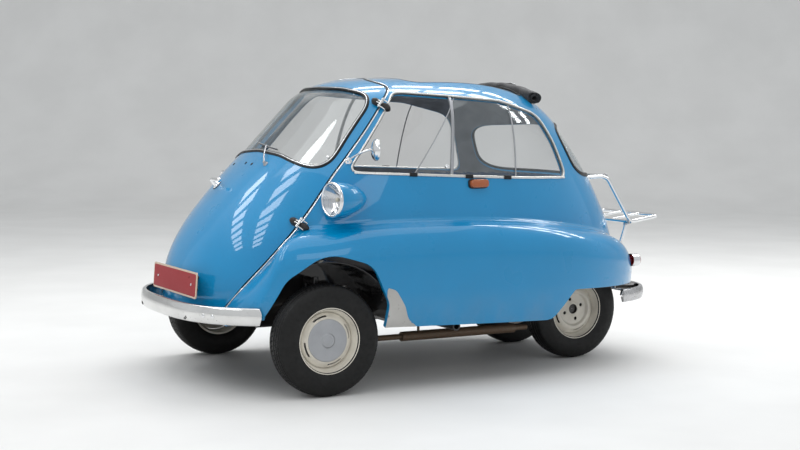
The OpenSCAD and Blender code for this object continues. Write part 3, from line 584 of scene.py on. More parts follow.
class Skin:
    """Triangles on the body surface. q holds each point's level and folded plan angle."""

    def __init__(self, p, n, q, t):
        used = np.unique(t)
        place = np.full(len(p), -1)
        place[used] = np.arange(len(used))
        self.p, self.n, self.q, self.t = p[used], n[used], q[used], place[t]

    def cut(self, value):
        """The part where value, given for each point, is above zero, cut along its zero line."""
        v = np.where(np.abs(value) < 0.15, np.where(value < 0, -0.15, 0.15), value)
        up = (v > 0)[self.t]
        count = up.sum(1)
        fields = np.hstack([self.p, self.n, self.q])
        triangles = [self.t[count == 3]]
        mixed = (count == 1) | (count == 2)
        t, lone = self.t[mixed], np.where(count[mixed] == 1, 1, 0)
        which = np.argmax(up[mixed] == lone[:, None].astype(bool), axis=1)
        t = np.take_along_axis(t, (which[:, None] + np.arange(3)) % 3, 1)
        ends = np.sort(np.vstack([t[:, [0, 1]], t[:, [0, 2]]]), axis=1)
        edges, where = np.unique(ends, axis=0, return_inverse=True)
        where = where.reshape(-1)
        s = (v[edges[:, 0]] / (v[edges[:, 0]] - v[edges[:, 1]]))[:, None]
        fields = np.vstack([fields, fields[edges[:, 0]] * (1 - s) + fields[edges[:, 1]] * s])
        ab, ac = where[: len(t)] + len(self.p), where[len(t) :] + len(self.p)
        one = lone == 1
        triangles.append(np.stack([t[one, 0], ab[one], ac[one]], -1))
        triangles.append(np.stack([ab[~one], t[~one, 1], t[~one, 2]], -1))
        triangles.append(np.stack([ab[~one], t[~one, 2], ac[~one]], -1))
        return Skin(fields[:, :3], unit(fields[:, 3:6]), fields[:, 6:], np.vstack(triangles))

    def loops(self):
        """Boundary loops as lists of point numbers, with the skin on their left."""
        e = np.vstack([self.t[:, [0, 1]], self.t[:, [1, 2]], self.t[:, [2, 0]]])
        n = len(self.p)
        alone = e[~np.isin(e[:, 0] * n + e[:, 1], e[:, 1] * n + e[:, 0])]
        follow = {}
        for i, j in alone:
            follow.setdefault(int(i), []).append(int(j))
        found = []
        while follow:
            start = next(iter(follow))
            loop, i = [], start
            while i in follow:
                loop.append(i)
                nexts = follow[i]
                j = nexts.pop()
                if not nexts:
                    del follow[i]
                i = j
            if len(loop) > 8:
                found.append(loop)
        return found


def edge_frames(skin, loop):
    """Points of a loop with the direction out of the skin and the normal at each."""
    p, n = skin.p[loop], unit(skin.n[loop])
    return p, unit(np.cross(tangents(p, True), n)), n


def run_length(path):
    """Length along a path at each of its points."""
    return np.concatenate([[0], np.cumsum(np.linalg.norm(np.diff(path, axis=0), axis=1))])


TRIM_STEP = 7.0
TRIM_PASSES = 8


def even_loop(skin, loop):
    """A loop respaced evenly and eased, with its frames: for trim that runs along an edge."""
    p, _, n = edge_frames(skin, loop)
    length = run_length(np.vstack([p, p[:1]]))
    count = max(12, int(length[-1] / TRIM_STEP))
    s = np.linspace(0, length[-1], count, endpoint=False)
    q, m = (np.stack([np.interp(s, length, np.append(c, c[0])) for c in v.T], -1) for v in (p, n))
    for _ in range(TRIM_PASSES):
        q = (np.roll(q, 1, 0) + 2 * q + np.roll(q, -1, 0)) / 4
        m = (np.roll(m, 1, 0) + 2 * m + np.roll(m, -1, 0)) / 4
    m = unit(m)
    return q, unit(np.cross(tangents(q, True), m)), m


def panel_parts(skin, depth, lip, skip=None, inner=True):
    """Outer face of a panel, its rolled edges with their walls, and its inner face, as parts."""
    outer = (skin.p, skin.t.tolist(), skin.n)
    edges, backs = [], []
    for loop in skin.loops():
        p, b, n = edge_frames(skin, loop)
        rows, normals = [], []
        for angle in np.radians([0, 30, 60, 90]):
            rows.append(p + b * lip * math.sin(angle) - n * lip * (1 - math.cos(angle)))
            normals.append(n * math.cos(angle) + b * math.sin(angle))
        for down in (lip + 0.1, depth):
            rows.append(p + b * lip - n * down)
            normals.append(b)
        rows += [p + b * lip - n * depth, p - n * depth]
        normals += [-n, -n]
        count = len(loop)
        faces = grid_faces(len(rows), count, closed_u=True)[:, ::-1]
        keep = np.ones(count, bool) if skip is None else ~(skip(p) & skip(np.roll(p, -1, 0)))
        faces = faces.reshape(len(rows) - 1, count, 4)[:, keep].reshape(-1, 4)
        edges.append((np.vstack(rows), faces.tolist(), np.vstack(normals)))
    if inner:
        backs.append((skin.p - skin.n * depth, skin.t[:, ::-1].tolist(), -skin.n))
    return outer, edges, backs


def soft_outline(corners, steps):
    """Closed outline with each [x, y, radius] corner rounded by a curve."""
    out = []
    count = len(corners)
    for i in range(count):
        p = np.array(corners[i][:2], float)
        a, b = np.array(corners[i - 1][:2]) - p, np.array(corners[(i + 1) % count][:2]) - p
        if corners[i][2] == 0:
            out.append(p)
            continue
        half = math.acos(np.clip(unit(a) @ unit(b), -1, 1)) / 2
        cut = min(corners[i][2] / math.tan(half), 0.48 * np.linalg.norm(a), 0.48 * np.linalg.norm(b))
        out += corner_curve(p + unit(a) * cut, p, p + unit(b) * cut, steps)
    return np.array(out)


def inside(u, v, outline):
    """Distance in to an outline, positive inside it, for points (u, v)."""
    best = np.full(u.shape, 1e9)
    within = np.zeros(u.shape, bool)
    for p, q in zip(outline, np.roll(outline, -1, 0)):
        d = q - p
        t = np.clip(((u - p[0]) * d[0] + (v - p[1]) * d[1]) / max(d @ d, 1e-9), 0, 1)
        best = np.minimum(best, np.hypot(u - p[0] - d[0] * t, v - p[1] - d[1] * t))
        crosses = (p[1] > v) != (q[1] > v)
        if d[1]:
            within ^= crosses & (u < p[0] + (v - p[1]) * d[0] / d[1])
    return np.where(within, best, -best)


def both_sides(half):
    """A symmetric outline from its left half."""
    return list(half) + [[-c[0], c[1], c[2]] for c in reversed(half) if c[0] > 0.01]


def body_skin():
    """The whole body surface, with its rows drawn together at the shoulder."""
    s = np.linspace(-1, 1, 181)
    side = 90 * np.sign(s) * np.abs(s) ** 1.3
    angles = np.concatenate([side, 180 - side[-2:0:-1]])
    crease = shoulder(angles)
    first = np.maximum(LOW + 8, crease - 70)
    second = np.maximum(first + 24, crease + 50)
    low = LOW + (first - LOW) * np.linspace(0, 1, 26)[:, None]
    mid = first + (second - first) * np.linspace(0, 1, 27)[1:, None]
    high = second + (HIGH - second) * np.sin(np.radians(np.linspace(0, 90, 92)))[1:, None]
    z = np.vstack([low, mid, high])
    a = np.broadcast_to(angles, z.shape)
    p, n = body_point(z, a).reshape(-1, 3), body_normal(z, a).reshape(-1, 3)
    quads = grid_faces(*z.shape, closed_u=True)
    t = np.vstack([quads[:, [0, 1, 2]], quads[:, [0, 2, 3]]])
    return Skin(p, n, np.stack([z.ravel(), side_angle(a).ravel()], -1), t)


whole = body_skin()

# ---------------------------------------------------------------- outlines on the body

DOOR_LOW = 325
# Edge of the door as (level, x) low down and (level, y) at its side.
DOOR_FOOT = ((DOOR_LOW, 312), (370, 344), (462, 411), (555, 450), (640, 474))
DOOR_SIDE = ((709, -808), (829, -717), (1014, -567), (1202, -403), (1272, -333), (1305, -290))
# Its way over the roof, as (level, plan angle).
DOOR_TOP = [(1329, -62), (1335, -76), (1336, -90)]
door_knots = [(z, surface_at(z, x=x)) for z, x in DOOR_FOOT]
door_knots += [(z, surface_at(z, y=y)) for z, y in DOOR_SIDE] + DOOR_TOP


def eased(line, width, closed=False, mirror_end=False):
    """A line of points, each averaged with its neighbours over a width of this many points."""
    reach = 3 * width
    k = np.exp(-((np.arange(-reach, reach + 1) / width) ** 2) / 2)
    if closed:
        padded = np.vstack([line[-reach:], line, line[:reach]])
    else:
        before = 2 * line[0] - line[reach:0:-1]
        after = 2 * line[-1] - line[-2 : -reach - 2 : -1]
        if mirror_end:
            after[:, 0] = line[-2 : -reach - 2 : -1, 0]
        padded = np.vstack([before, line, after])
    return np.stack([np.convolve(column, k / k.sum(), "valid") for column in padded.T], -1)


seam_line = eased(spline(door_knots, 40), 22, mirror_end=True)
seam_line[:, 1] = np.clip(seam_line[:, 1], -90, 0)
seam_points = body_point(seam_line[:, 0], seam_line[:, 1])


def door_distance(skin):
    """Distance in to the door's edge, positive on the door's side."""
    folded = np.abs(skin.p[:, 0])
    q = np.stack([folded, skin.p[:, 1], skin.p[:, 2]], -1)
    best = np.full(len(q), 1e9)
    near = q[:, 1] < -120
    for k in range(0, len(seam_points) - 1, 2):
        s, e = seam_points[k], seam_points[min(k + 2, len(seam_points) - 1)]
        d = e - s
        t = np.clip((q[near] - s) @ d / (d @ d), 0, 1)[:, None]
        best[near] = np.minimum(best[near], np.linalg.norm(q[near] - s - t * d, axis=1))
    edge = np.interp(skin.q[:, 0], seam_line[:, 0], seam_line[:, 1])
    on_door = (skin.q[:, 1] < edge) & (skin.q[:, 0] < seam_line[-1, 0])
    return np.minimum(np.where(on_door, best, -best), skin.q[:, 0] - DOOR_LOW + np.where(on_door, 0, 1e6))


# Outlines as [across or along, level, corner radius].
WINDSCREEN = both_sides(
    [
        [0, 1291, 0], [200, 1287, 200], [350, 1262, 90], [396, 1215, 60], [452, 941, 24], [400, 945, 40],
        [210, 995, 200], [0, 1010, 0],
    ]
)
REAR_WINDOW = both_sides([[0, 1140, 0], [375, 1125, 90], [432, 890, 60], [0, 880, 0]])
SIDE_WINDOW = [
    [-596, 930, 14], [-322, 1274, 55], [200, 1240, 200], [438, 1178, 130], [508, 1050, 160], [562, 884, 26],
]
ARCH = [
    [-1002, 200, 0], [-1000, 338, 16], [-925, 490, 120], [-765, 606, 170], [-560, 545, 110], [-487, 380, 70],
    [-506, 200, 0],
]
SILL = [
    [-1300, 200, 0], [-1300, 285, 0], [-990, 280, 30], [-480, 277, 30], [380, 252, 60], [500, 385, 26],
    [1300, 362, 0], [1300, 200, 0],
]
GUARD = [[-505, 272, 0], [-497, 452, 6], [-455, 434, 30], [-413, 368, 50], [-392, 308, 60], [-342, 272, 0]]
LID = [[290, 345, 30], [290, 635, 40], [590, 605, 40], [590, 415, 25], [505, 405, 20], [470, 345, 25]]
WING_LOW, WING_Y, WING_X = 325, -980, 350
ROOF_X, ROOF_FRONT, ROOF_REAR, ROOF_CORNER = 330, -190, 430, 70
PANEL_Z, TAIL_Y = 690, 840
LIP, DOOR_GAP, LID_GAP = 2.0, 9, 3
# Distance given to points that an outline can't reach.
FAR = -1e3
EVEN_STEP = 4.0


def flowing(corners, width):
    """Rounded outline, evenly respaced and with its kinks eased."""
    line = soft_outline(corners, 10)
    ring = np.vstack([line, line[:1]])
    length = run_length(ring)
    s = np.arange(0, length[-1], EVEN_STEP)
    even = np.column_stack([np.interp(s, length, ring[:, 0]), np.interp(s, length, ring[:, 1])])
    return eased(even, width, closed=True)


def window_distance(skin, corners, wide=True, front=True):
    """Distance in to a window's outline, a wide one seen from the front or rear, else from the side."""
    line = flowing(corners, 8 if wide else 3)
    x, y, z = skin.p.T
    if wide:
        d = inside(x, z, line)
        return np.where((y < -100) == front, d, FAR)
    return np.where(np.abs(x) > 250, inside(y, z, line), FAR)


def roof_distance(skin):
    """Distance in to the roof's opening, a rectangle with round corners."""
    x, y, z = skin.p.T
    dx = np.abs(x) - (ROOF_X - ROOF_CORNER)
    dy = np.abs(y - (ROOF_FRONT + ROOF_REAR) / 2) - ((ROOF_REAR - ROOF_FRONT) / 2 - ROOF_CORNER)
    out = np.hypot(np.maximum(dx, 0), np.maximum(dy, 0)) + np.minimum(np.maximum(dx, dy), 0)
    return np.where(z > 1150, ROOF_CORNER - out, FAR)


def side_distance(skin, corners):
    """Distance in to an outline seen from the side, on both sides of the car."""
    x, y, z = skin.p.T
    return np.where(np.abs(x) > 300, inside(y, z, soft_outline(corners, 10)), FAR)


def sill_distance(skin):
    """Distance in to what is cut away along the body's lower edge."""
    return inside(skin.p[:, 1], skin.p[:, 2], soft_outline(SILL, 8))


def wing_distance(skin):
    """Distance in to what is cut away under the front corners."""
    x, y, z = skin.p.T
    return np.where(np.abs(x) > WING_X, np.minimum(WING_LOW - z, WING_Y - y), FAR)


def lid_distance(skin, gap):
    """Distance in to the engine lid's outline on the right side, grown by a gap."""
    x, y, z = skin.p.T
    return np.where(x < -300, inside(y, z, soft_outline(LID, 8)) + gap, FAR)


shell = whole.cut(-door_distance(whole) - LIP)
shell = shell.cut(-roof_distance(shell) - LIP)
shell = shell.cut(-window_distance(shell, REAR_WINDOW, front=False) - LIP)
shell = shell.cut(-window_distance(shell, SIDE_WINDOW, wide=False) - LIP)
shell = shell.cut(-side_distance(shell, ARCH) - LIP)
shell = shell.cut(-sill_distance(shell) - LIP)
shell = shell.cut(-wing_distance(shell) - LIP)
shell = shell.cut(-lid_distance(shell, LID_GAP))

# ---------------------------------------------------------------- body panels

BODY_T, DOOR_T, LID_T = 20, 24, 14
# The inner face is lined behind this place and above this level.
LINED_Y, LINED_Z = -60, 870


def at_joint(p):
    """Which points lie on a joint between two panels, where no edge is rolled."""
    low = p[:, 2] < PANEL_Z + 0.1
    level = np.abs(p[:, 2] - PANEL_Z) < 0.02
    cross = (np.abs(p[:, 1] - TAIL_Y) < 0.02) & low
    middle = (np.abs(p[:, 0]) < 0.02) & low & (p[:, 1] > -1000)
    return level | cross | middle


def inner_colours(piece, back_start):
    """Gives the inner face, from this polygon on, the body blue darkened as painted shade, and the grey
    lining.
    """
    mesh = piece.data
    mesh.materials.append(shaded_inner_paint)
    mesh.materials.append(trim_grey)
    for poly in mesh.polygons[back_start:]:
        c = poly.center / MM
        poly.material_index = 2 if c.y > LINED_Y and c.z > LINED_Z else 1


def build_panel(name, skin, depth, body, node):
    outer, edges, backs = panel_parts(skin, depth, LIP, skip=at_joint)
    count = sum(len(part[1]) for part in [outer] + edges)
    piece = make_joined(name, [outer] + edges + backs, body_paint, body, node)
    inner_colours(piece, count)


top = shell.cut(shell.p[:, 2] - PANEL_Z)
low = shell.cut(PANEL_Z - shell.p[:, 2])
tail = low.cut(low.p[:, 1] - TAIL_Y)
sides = low.cut(TAIL_Y - low.p[:, 1])
left = sides.cut(sides.p[:, 0])
right = sides.cut(-sides.p[:, 0])
door_opening = whole.cut(door_distance(whole) - DOOR_GAP - LIP)
door = door_opening.cut(-window_distance(door_opening, WINDSCREEN) - LIP)
lid = whole.cut(lid_distance(whole, -LIP))
build_panel("cabin_skin", top, BODY_T, "chassis", "cabin_shell")
build_panel("left_side_skin", left, BODY_T, "chassis", "left_side_panel")
build_panel("right_side_skin", right, BODY_T, "chassis", "right_side_panel")
build_panel("tail_skin", tail, BODY_T, "chassis", "tail_panel")
build_panel("door_skin", door, DOOR_T, "door", "front_door")
build_panel("engine_lid_skin", lid, LID_T, "lid", "engine_lid")

# ---------------------------------------------------------------- panes and their seals

GLASS_T = 5
# The slid left pane's front edge: its place at a level, and how far it leans back per unit of height.
SLID_Y, SLID_Z, SLID_LEAN = -340, 880, 0.786


def slid_edge(z):
    return SLID_Y + (z - SLID_Z) * SLID_LEAN


def pane(name, skin, inset, body, node):
    """Glass on a patch of the body surface, set in by inset."""
    sunk = Skin(skin.p - skin.n * inset, skin.n, skin.q, skin.t)
    outer, edges, backs = panel_parts(sunk, GLASS_T, 0.8)
    make_joined(name, [outer] + edges + backs, glass, body, node)


def strip_profile(width, height, sink, shift=0.0):
    """Low crowned strip: flat below, rounded above."""
    half, crown = width / 2, 0.35
    arc = [
        (shift + half * math.cos(t), -sink + (height + sink) * (1 - crown + crown * math.sin(t)))
        for t in np.linspace(0.15, math.pi - 0.15, 9)
    ]
    return np.array([(shift - half, -sink), (shift + half, -sink)] + arc)[::-1]


def edge_trim(skin, profile, longest=False):
    """Strips run along the boundary loops of a skin, or only along its longest."""
    loops = sorted(skin.loops(), key=len)[-1:] if longest else skin.loops()
    return [sweep(*even_loop(skin, loop), profile, closed=True) for loop in loops]


screen = whole.cut(window_distance(whole, WINDSCREEN))
pane("windscreen_pane", screen, 4, "door", "windscreen")
make_joined("windscreen_seal", edge_trim(screen, strip_profile(19, 5.5, 6)), seal_rubber, "door")
make_joined("windscreen_bead", edge_trim(screen, strip_profile(4.5, 7.2, -3, shift=-2)), chrome, "door")

rear_glass = whole.cut(window_distance(whole, REAR_WINDOW, front=False))
pane("rear_pane", rear_glass, 5, "chassis", "rear_window")
make_joined("rear_window_seal", edge_trim(rear_glass, strip_profile(20, 5, 6)), seal_rubber, "chassis")

side_open = whole.cut(window_distance(whole, SIDE_WINDOW, wide=False))
left_glass = side_open.cut(side_open.p[:, 0])
right_glass = side_open.cut(-side_open.p[:, 0])
left_slid = left_glass.cut(left_glass.p[:, 1] - slid_edge(left_glass.p[:, 2]))
pane("left_pane", left_slid, 8, "chassis", "left_side_windows")
pane("right_pane", right_glass, 8, "chassis", "right_side_windows")
frame_strips = edge_trim(side_open, strip_profile(9, 4.5, 8))
make_joined("side_window_frames", frame_strips, window_frame, "chassis")

# ---------------------------------------------------------------- door seam and hinges


def seam_side(side):
    """The door's seam on one side, with its normals."""
    a = seam_line[:-1, 1] if side > 0 else 180 - seam_line[:-1, 1]
    return body_point(seam_line[:-1, 0], a), body_normal(seam_line[:-1, 0], a)


def seam_path():
    """The seam from its left foot over the roof to its right foot, with the way across and the normals."""
    left_p, left_n = seam_side(1)
    right_p, right_n = seam_side(-1)
    p, n = np.vstack([left_p, right_p[::-1]]), np.vstack([left_n, right_n[::-1]])
    for _ in range(6):
        inner = (p[:-2] + 2 * p[1:-1] + p[2:]) / 4
        p = np.vstack([p[:1], inner, p[-1:]])
        n = unit(np.vstack([n[:1], (n[:-2] + 2 * n[1:-1] + n[2:]) / 4, n[-1:]]))
    across = unit(np.cross(tangents(p), n))
    return p, -across if across[10, 1] > 0 else across, n


SEAM_SEAL = [(8, -12), (8, -1.6), (5, -0.8), (-1, -0.4), (-3, -1.2), (-3, -12)]
SEAM_BEAD = circle(3.1, 12) + [-1.6, 1.4]
seam = seam_path()
make_joined("door_seal", [sweep(*seam, SEAM_SEAL)], seal_rubber, "chassis")
make_joined("door_seam_bead", [sweep(*seam, SEAM_BEAD)], chrome, "chassis")

HINGE_LOW = np.array([505.0, -823, 722])
HINGE_HIGH = np.array([443.0, -404, 1226])
HINGE_DIR = unit(HINGE_HIGH - HINGE_LOW)
HINGE_OUT = np.array([0.775, -0.437, 0.4575])
HINGE_ACROSS = np.cross(HINGE_DIR, HINGE_OUT)


# Half sizes of the rubber pad under a leaf, and how far its rim goes below its middle.
PAD_ACROSS, PAD_ALONG, PAD_RISE, PAD_SKIRT = 23.56, 15, 14, 16


def hinge_pad(centre, side):
    """Rubber pad under one leaf: a low dome with a skirt, longer across the seam than along it."""
    mid = centre + HINGE_ACROSS * side * PAD_ACROSS - HINGE_OUT * 15
    ring = np.linspace(0, 2 * np.pi, 40, endpoint=False)
    across, along = np.cos(ring)[:, None] * HINGE_ACROSS, np.sin(ring)[:, None] * HINGE_DIR
    rows, normals = [], []
    for slope in np.linspace(0, np.pi / 2, 7):
        s, c = math.sin(slope), math.cos(slope)
        rows.append(mid + (across * PAD_ACROSS + along * PAD_ALONG) * s + HINGE_OUT * PAD_RISE * c)
        normals.append((across / PAD_ACROSS + along / PAD_ALONG) * s + HINGE_OUT * c / PAD_RISE)
    rows.append(rows[-1] - HINGE_OUT * PAD_SKIRT)
    normals.append(across + along)
    pts, normals = np.vstack(rows), unit(np.vstack(normals))
    faces = grid_faces(len(rows), len(ring), closed_u=True).tolist()
    return pts, facing(pts, faces, normals), normals


def barrel(centre, low, high):
    """Piece of a hinge's barrel between two places along it."""
    shape = [(low, 0.1), (low, 5.5), (low + 1, 6.5), (high - 1, 6.5), (high, 5.5), (high, 0.1)]
    return lathe(shape, centre, HINGE_DIR, 28)


def hinge_strap(centre, side, along):
    """Bent rod from the barrel to a pad."""
    start = centre + HINGE_DIR * along
    bends = [start + HINGE_ACROSS * side * out - HINGE_OUT * down for out, down in ((0, 0), (14, 3), (30, 9))]
    return tube(bends, 2.8, 12)


def hinge(centre, name, body_node=None, door_node=None):
    """Hinge on the door's seam: two pads, a leaf on the body and a leaf on the door."""
    make_joined(f"{name}_body_pad", [hinge_pad(centre, 1)], pad_rubber, "chassis")
    make_joined(f"{name}_door_pad", [hinge_pad(centre, -1)], pad_rubber, "door")
    pin = lathe([(-25, 0.1), (-25, 3), (-23, 4.5), (23, 4.5), (25, 3), (25, 0.1)], centre, HINGE_DIR, 20)
    body_leaf = [barrel(centre, 13, 22), barrel(centre, -22, -13)]
    body_leaf += [hinge_strap(centre, 1, 17), hinge_strap(centre, 1, -17), pin]
    door_leaf = [barrel(centre, -12, 12), hinge_strap(centre, -1, 5), hinge_strap(centre, -1, -5)]
    make_joined(f"{name}_body_leaf", body_leaf, pitted_chrome, "chassis", body_node)
    make_joined(f"{name}_door_leaf", door_leaf, pitted_chrome, "door", door_node)


hinge(HINGE_LOW, "lower_hinge", "body_hinges", "door_hinge_arms")
hinge(HINGE_HIGH, "upper_hinge")

# ---------------------------------------------------------------- wheels

TYRE_R, TYRE_HALF, RIM_R = 236.0, 61.0, 143.0
FRONT_X, FRONT_Y, REAR_X, REAR_Y, HUB_Z = 600.0, -750.0, 260.0, 750.0, 236.0


# Half of the tyre's section from the middle of the tread: (out from the middle, below its radius).
TREAD = [
    (0, 0), (10, 0), (11, 6), (14, 6), (15, 0.4), (26, 1.2), (27, 7), (30, 7), (31, 1.8), (40, 3.5), (41, 9),
    (43.5, 9.3), (44.5, 5.5), (49, 9), (53.5, 17), (57.5, 31), (60, 47),
]
# The rest of it: (out from the middle, above the rim's radius).
BEAD = [(TYRE_HALF, 34), (60, 22), (59, 20), (57.5, 12), (55.5, 6), (55, 2), (52, -4), (46, -10)]
TREAD_CUTS, CUT_SHARE, CUT_DEPTH = 72, 0.2, 3.2


def tyre(name, x, y, side, body, node):
    """Tyre with ribbed tread, fine cross cuts and a stepped sidewall."""
    half = [(a, TYRE_R - r) for a, r in TREAD] + [(a, RIM_R + r) for a, r in BEAD]
    profile = [(-a, r) for a, r in reversed(half[1:])] + half
    centre = [x, y, HUB_Z]
    pts, faces, normals = lathe(profile, centre, (side, 0, 0), 432)
    rel = pts - centre
    out = np.abs(rel[:, 0])
    radius = np.hypot(rel[:, 1], rel[:, 2])
    turn = np.arctan2(rel[:, 2], rel[:, 1])
    tread = (radius > TYRE_R - 9.1) & (out > 9) & (out < 50)
    place = (turn * TREAD_CUTS / (2 * np.pi) + out * 0.05) % 1
    cut = np.where(tread & (place < CUT_SHARE), CUT_DEPTH, 0)
    rel[:, 1:] *= (1 - cut / radius)[:, None]
    make_joined(name, [(rel + centre, faces, normals)], tyre_rubber, body, node)


def polar_skin(rings, centre, side, segments):
    """Disc of (along, radius) rings as a skin that can be cut."""
    pts, faces, normals = lathe(rings, centre, (side, 0, 0), segments)
    quads = np.array(faces)
    t = np.vstack([quads[:, [0, 1, 2]], quads[:, [0, 2, 3]]])
    rel = pts - np.asarray(centre)
    q = np.stack([np.hypot(rel[:, 1], rel[:, 2]), np.degrees(np.arctan2(rel[:, 2], rel[:, 1]))], -1)
    return Skin(pts, normals, q, t)


def slot_distance(skin, centre, radius, half_w, first, span):
    """Distance in to four curved slots round the wheel."""
    rel = skin.p[:, 1:] - np.asarray(centre)[1:]
    r, angle = np.hypot(*rel.T), np.degrees(np.arctan2(rel[:, 1], rel[:, 0]))
    off = np.abs((angle - first + 45) % 90 - 45)
    beyond = np.radians(np.maximum(off - span / 2, 0)) * radius
    return half_w - np.hypot(beyond, r - radius)


def hole_distance(skin, centre, pcd, radius, count, first):
    """Distance in to a ring of round holes."""
    rel = skin.p[:, 1:] - np.asarray(centre)[1:]
    best = np.full(len(rel), -1e9)
    for k in range(count):
        a = math.radians(first + 360 / count * k)
        spot = np.array([math.cos(a), math.sin(a)]) * pcd / 2
        best = np.maximum(best, radius - np.linalg.norm(rel - spot, axis=1))
    return best


# Rolled rim: (out from the middle, below its radius).
RIM = [
    (52, 7), (52.5, 2), (51, 0), (49, 0), (47, 2.5), (45.5, 8), (42, 12), (30, 14), (27, 17), (22, 19),
    (14, 26), (-14, 26), (-22, 19), (-44, 12), (-47, 2), (-50, 0), (-50, 4), (-46, 16),
]
# Dished disc: (out from the middle, radius).
DISC = [
    (14, RIM_R - 26.5), (18, RIM_R - 29), (20, 110), (24, 104), (28, 98), (30, 92), (30.5, 84), (27, 79),
    (21, 76), (19, 70), (19, 50), (19.5, 38), (22, 30), (22.5, 26), (21, 24),
]
SLOT_R, SLOT_HALF_W, SLOT_SPAN, HOLE_PCD, HOLE_R, FIRST_HOLE = 103, 3.6, 34, 100, 9, 20
DRUM = [
    (-46, 40), (-46, 92), (-42, 95), (-12, 95), (-8, 91), (-8, 60), (8, 56), (9, 40), (10, 22), (12, 20),
    (12, 2),
]
# Flat pressed cap with a ridged rim, a shallow cone and a raised boss.
CAP = [
    (27.5, 89), (29, 90.5), (31.5, 89.5), (32.5, 86.5), (31.6, 84), (32, 80), (33.2, 60), (34.6, 34),
    (35.4, 30.5), (38.5, 28.5), (39.6, 26), (39, 22.5), (38.6, 20), (39.8, 17), (41, 12), (41.4, 4),
    (41.4, 0.2),
]


def rim_parts(x, y, side):
    """Rolled rim and its dished disc with slots and lug holes."""
    centre = (x, y, HUB_Z)
    barrel_part = lathe([(a, RIM_R - r) for a, r in RIM], centre, (side, 0, 0), 160)
    dense = []
    for (a0, r0), (a1, r1) in zip(DISC, DISC[1:]):
        steps = max(1, int(abs(r1 - r0) / 2.5))
        dense += [(a0 + (a1 - a0) * k / steps, r0 + (r1 - r0) * k / steps) for k in range(steps)]
    skin = polar_skin(dense + [DISC[-1]], centre, side, 288)
    skin = skin.cut(-slot_distance(skin, centre, SLOT_R, SLOT_HALF_W, FIRST_HOLE, SLOT_SPAN))
    skin = skin.cut(-hole_distance(skin, centre, HOLE_PCD, HOLE_R, 4, FIRST_HOLE))
    outer, edges, _ = panel_parts(skin, 3.2, 0.6, inner=False)
    return [barrel_part, outer] + edges


def drum(x, y, side):
    return lathe(DRUM, (x, y, HUB_Z), (side, 0, 0), 72)


def wheels():
    for side, word in ((1, "left"), (-1, "right")):
        place, body = (side * FRONT_X, FRONT_Y, side), f"{word}_wheel"
        tyre(f"{word}_front_tread", *place, body, f"{word}_front_tyre")
        make_joined(f"{word}_front_wheel_rim", rim_parts(*place), wheel_paint, body, f"{word}_front_rim")
        make_joined(f"{word}_front_drum", [drum(*place)], steel, body)
        cap = lathe(CAP, (side * FRONT_X, FRONT_Y, HUB_Z), (side, 0, 0), 120)
        make_joined(f"{word}_cap", [cap], cap_metal, body, f"{word}_hub_cap")
        tyre(f"{word}_rear_tread", side * REAR_X, REAR_Y, side, "rear_wheels", f"{word}_rear_tyre")
    rims = rim_parts(REAR_X, REAR_Y, 1) + rim_parts(-REAR_X, REAR_Y, -1)
    make_joined("rear_wheel_rims", rims, wheel_paint, "rear_wheels", "rear_rims")
    drums = [drum(REAR_X, REAR_Y, 1), drum(-REAR_X, REAR_Y, -1)]
    make_joined("rear_drums", drums, under_black, "rear_wheels")


wheels()

# ---------------------------------------------------------------- lamps

LAMP = np.array([590.0, -712, 819])
LAMP_TURN = math.radians(8)
LAMP_R = 75


def lamp_axis(side):
    return np.array([side * math.sin(LAMP_TURN), -math.cos(LAMP_TURN), 0])


def mirrored(p, side):
    return np.asarray(p, float) * [side, 1, 1]


def headlamps():
    """Bullet pods with a chrome ring, a ribbed lens, a bright bowl and a bulb."""
    pods, rings, lenses, bowls, bulbs = [], [], [], [], []
    tail_curve = [(-8 - 168 * u, (LAMP_R - 1) * (1 - u**2.3) ** 0.72 + 0.2) for u in np.linspace(0, 1, 22)]
    ring = [(3, -11), (6, -9), (7, -6), (5, -1), (1, 1), (-5, 0.5), (-8, -1.5)]
    open_r = LAMP_R - 10
    lens = [(21 * math.cos(u) - 1, open_r * math.sin(u) + 0.05) for u in np.linspace(math.pi / 2, 0, 18)]
    bowl = [(-46 + 48 * u**2, open_r * u + 0.05) for u in np.linspace(1, 0, 16)]
    for side in (1, -1):
        at, axis = mirrored(LAMP, side), lamp_axis(side)
        pods.append(lathe([(-4, LAMP_R - 4), (-6, LAMP_R - 1.5)] + tail_curve, at, axis, 96))
        rings.append(lathe([(a, LAMP_R + r) for a, r in ring], at, axis, 96))
        lenses.append(lathe(lens, at, axis, 96))
        bowls.append(lathe(bowl, at, axis, 72))
        bulbs.append(lathe([(-20, 0.1), (-20.5, 6), (-24, 9), (-30, 9), (-46, 7)], at, axis, 24))
    make_joined("headlamp_shells", pods, body_paint, "chassis", "headlamp_pods")
    make_joined("headlamp_rings", rings, chrome, "chassis")
    make_joined("headlamp_glass", lenses, ribbed_glass, "chassis", "headlamp_lenses")
    make_joined("headlamp_bowls", bowls, mirror_bowl, "chassis")
    make_joined("headlamp_bulbs", bulbs, ivory, "chassis")


headlamps()


def oblong(half_w, half_h, count=40):
    """Outline between an oval and a rectangle."""
    out = []
    for u in np.linspace(0, 2 * np.pi, count, endpoint=False):
        c, s = math.cos(u), math.sin(u)
        out.append((half_w * np.sign(c) * abs(c) ** 0.45, half_h * np.sign(s) * abs(s) ** 0.55))
    return out


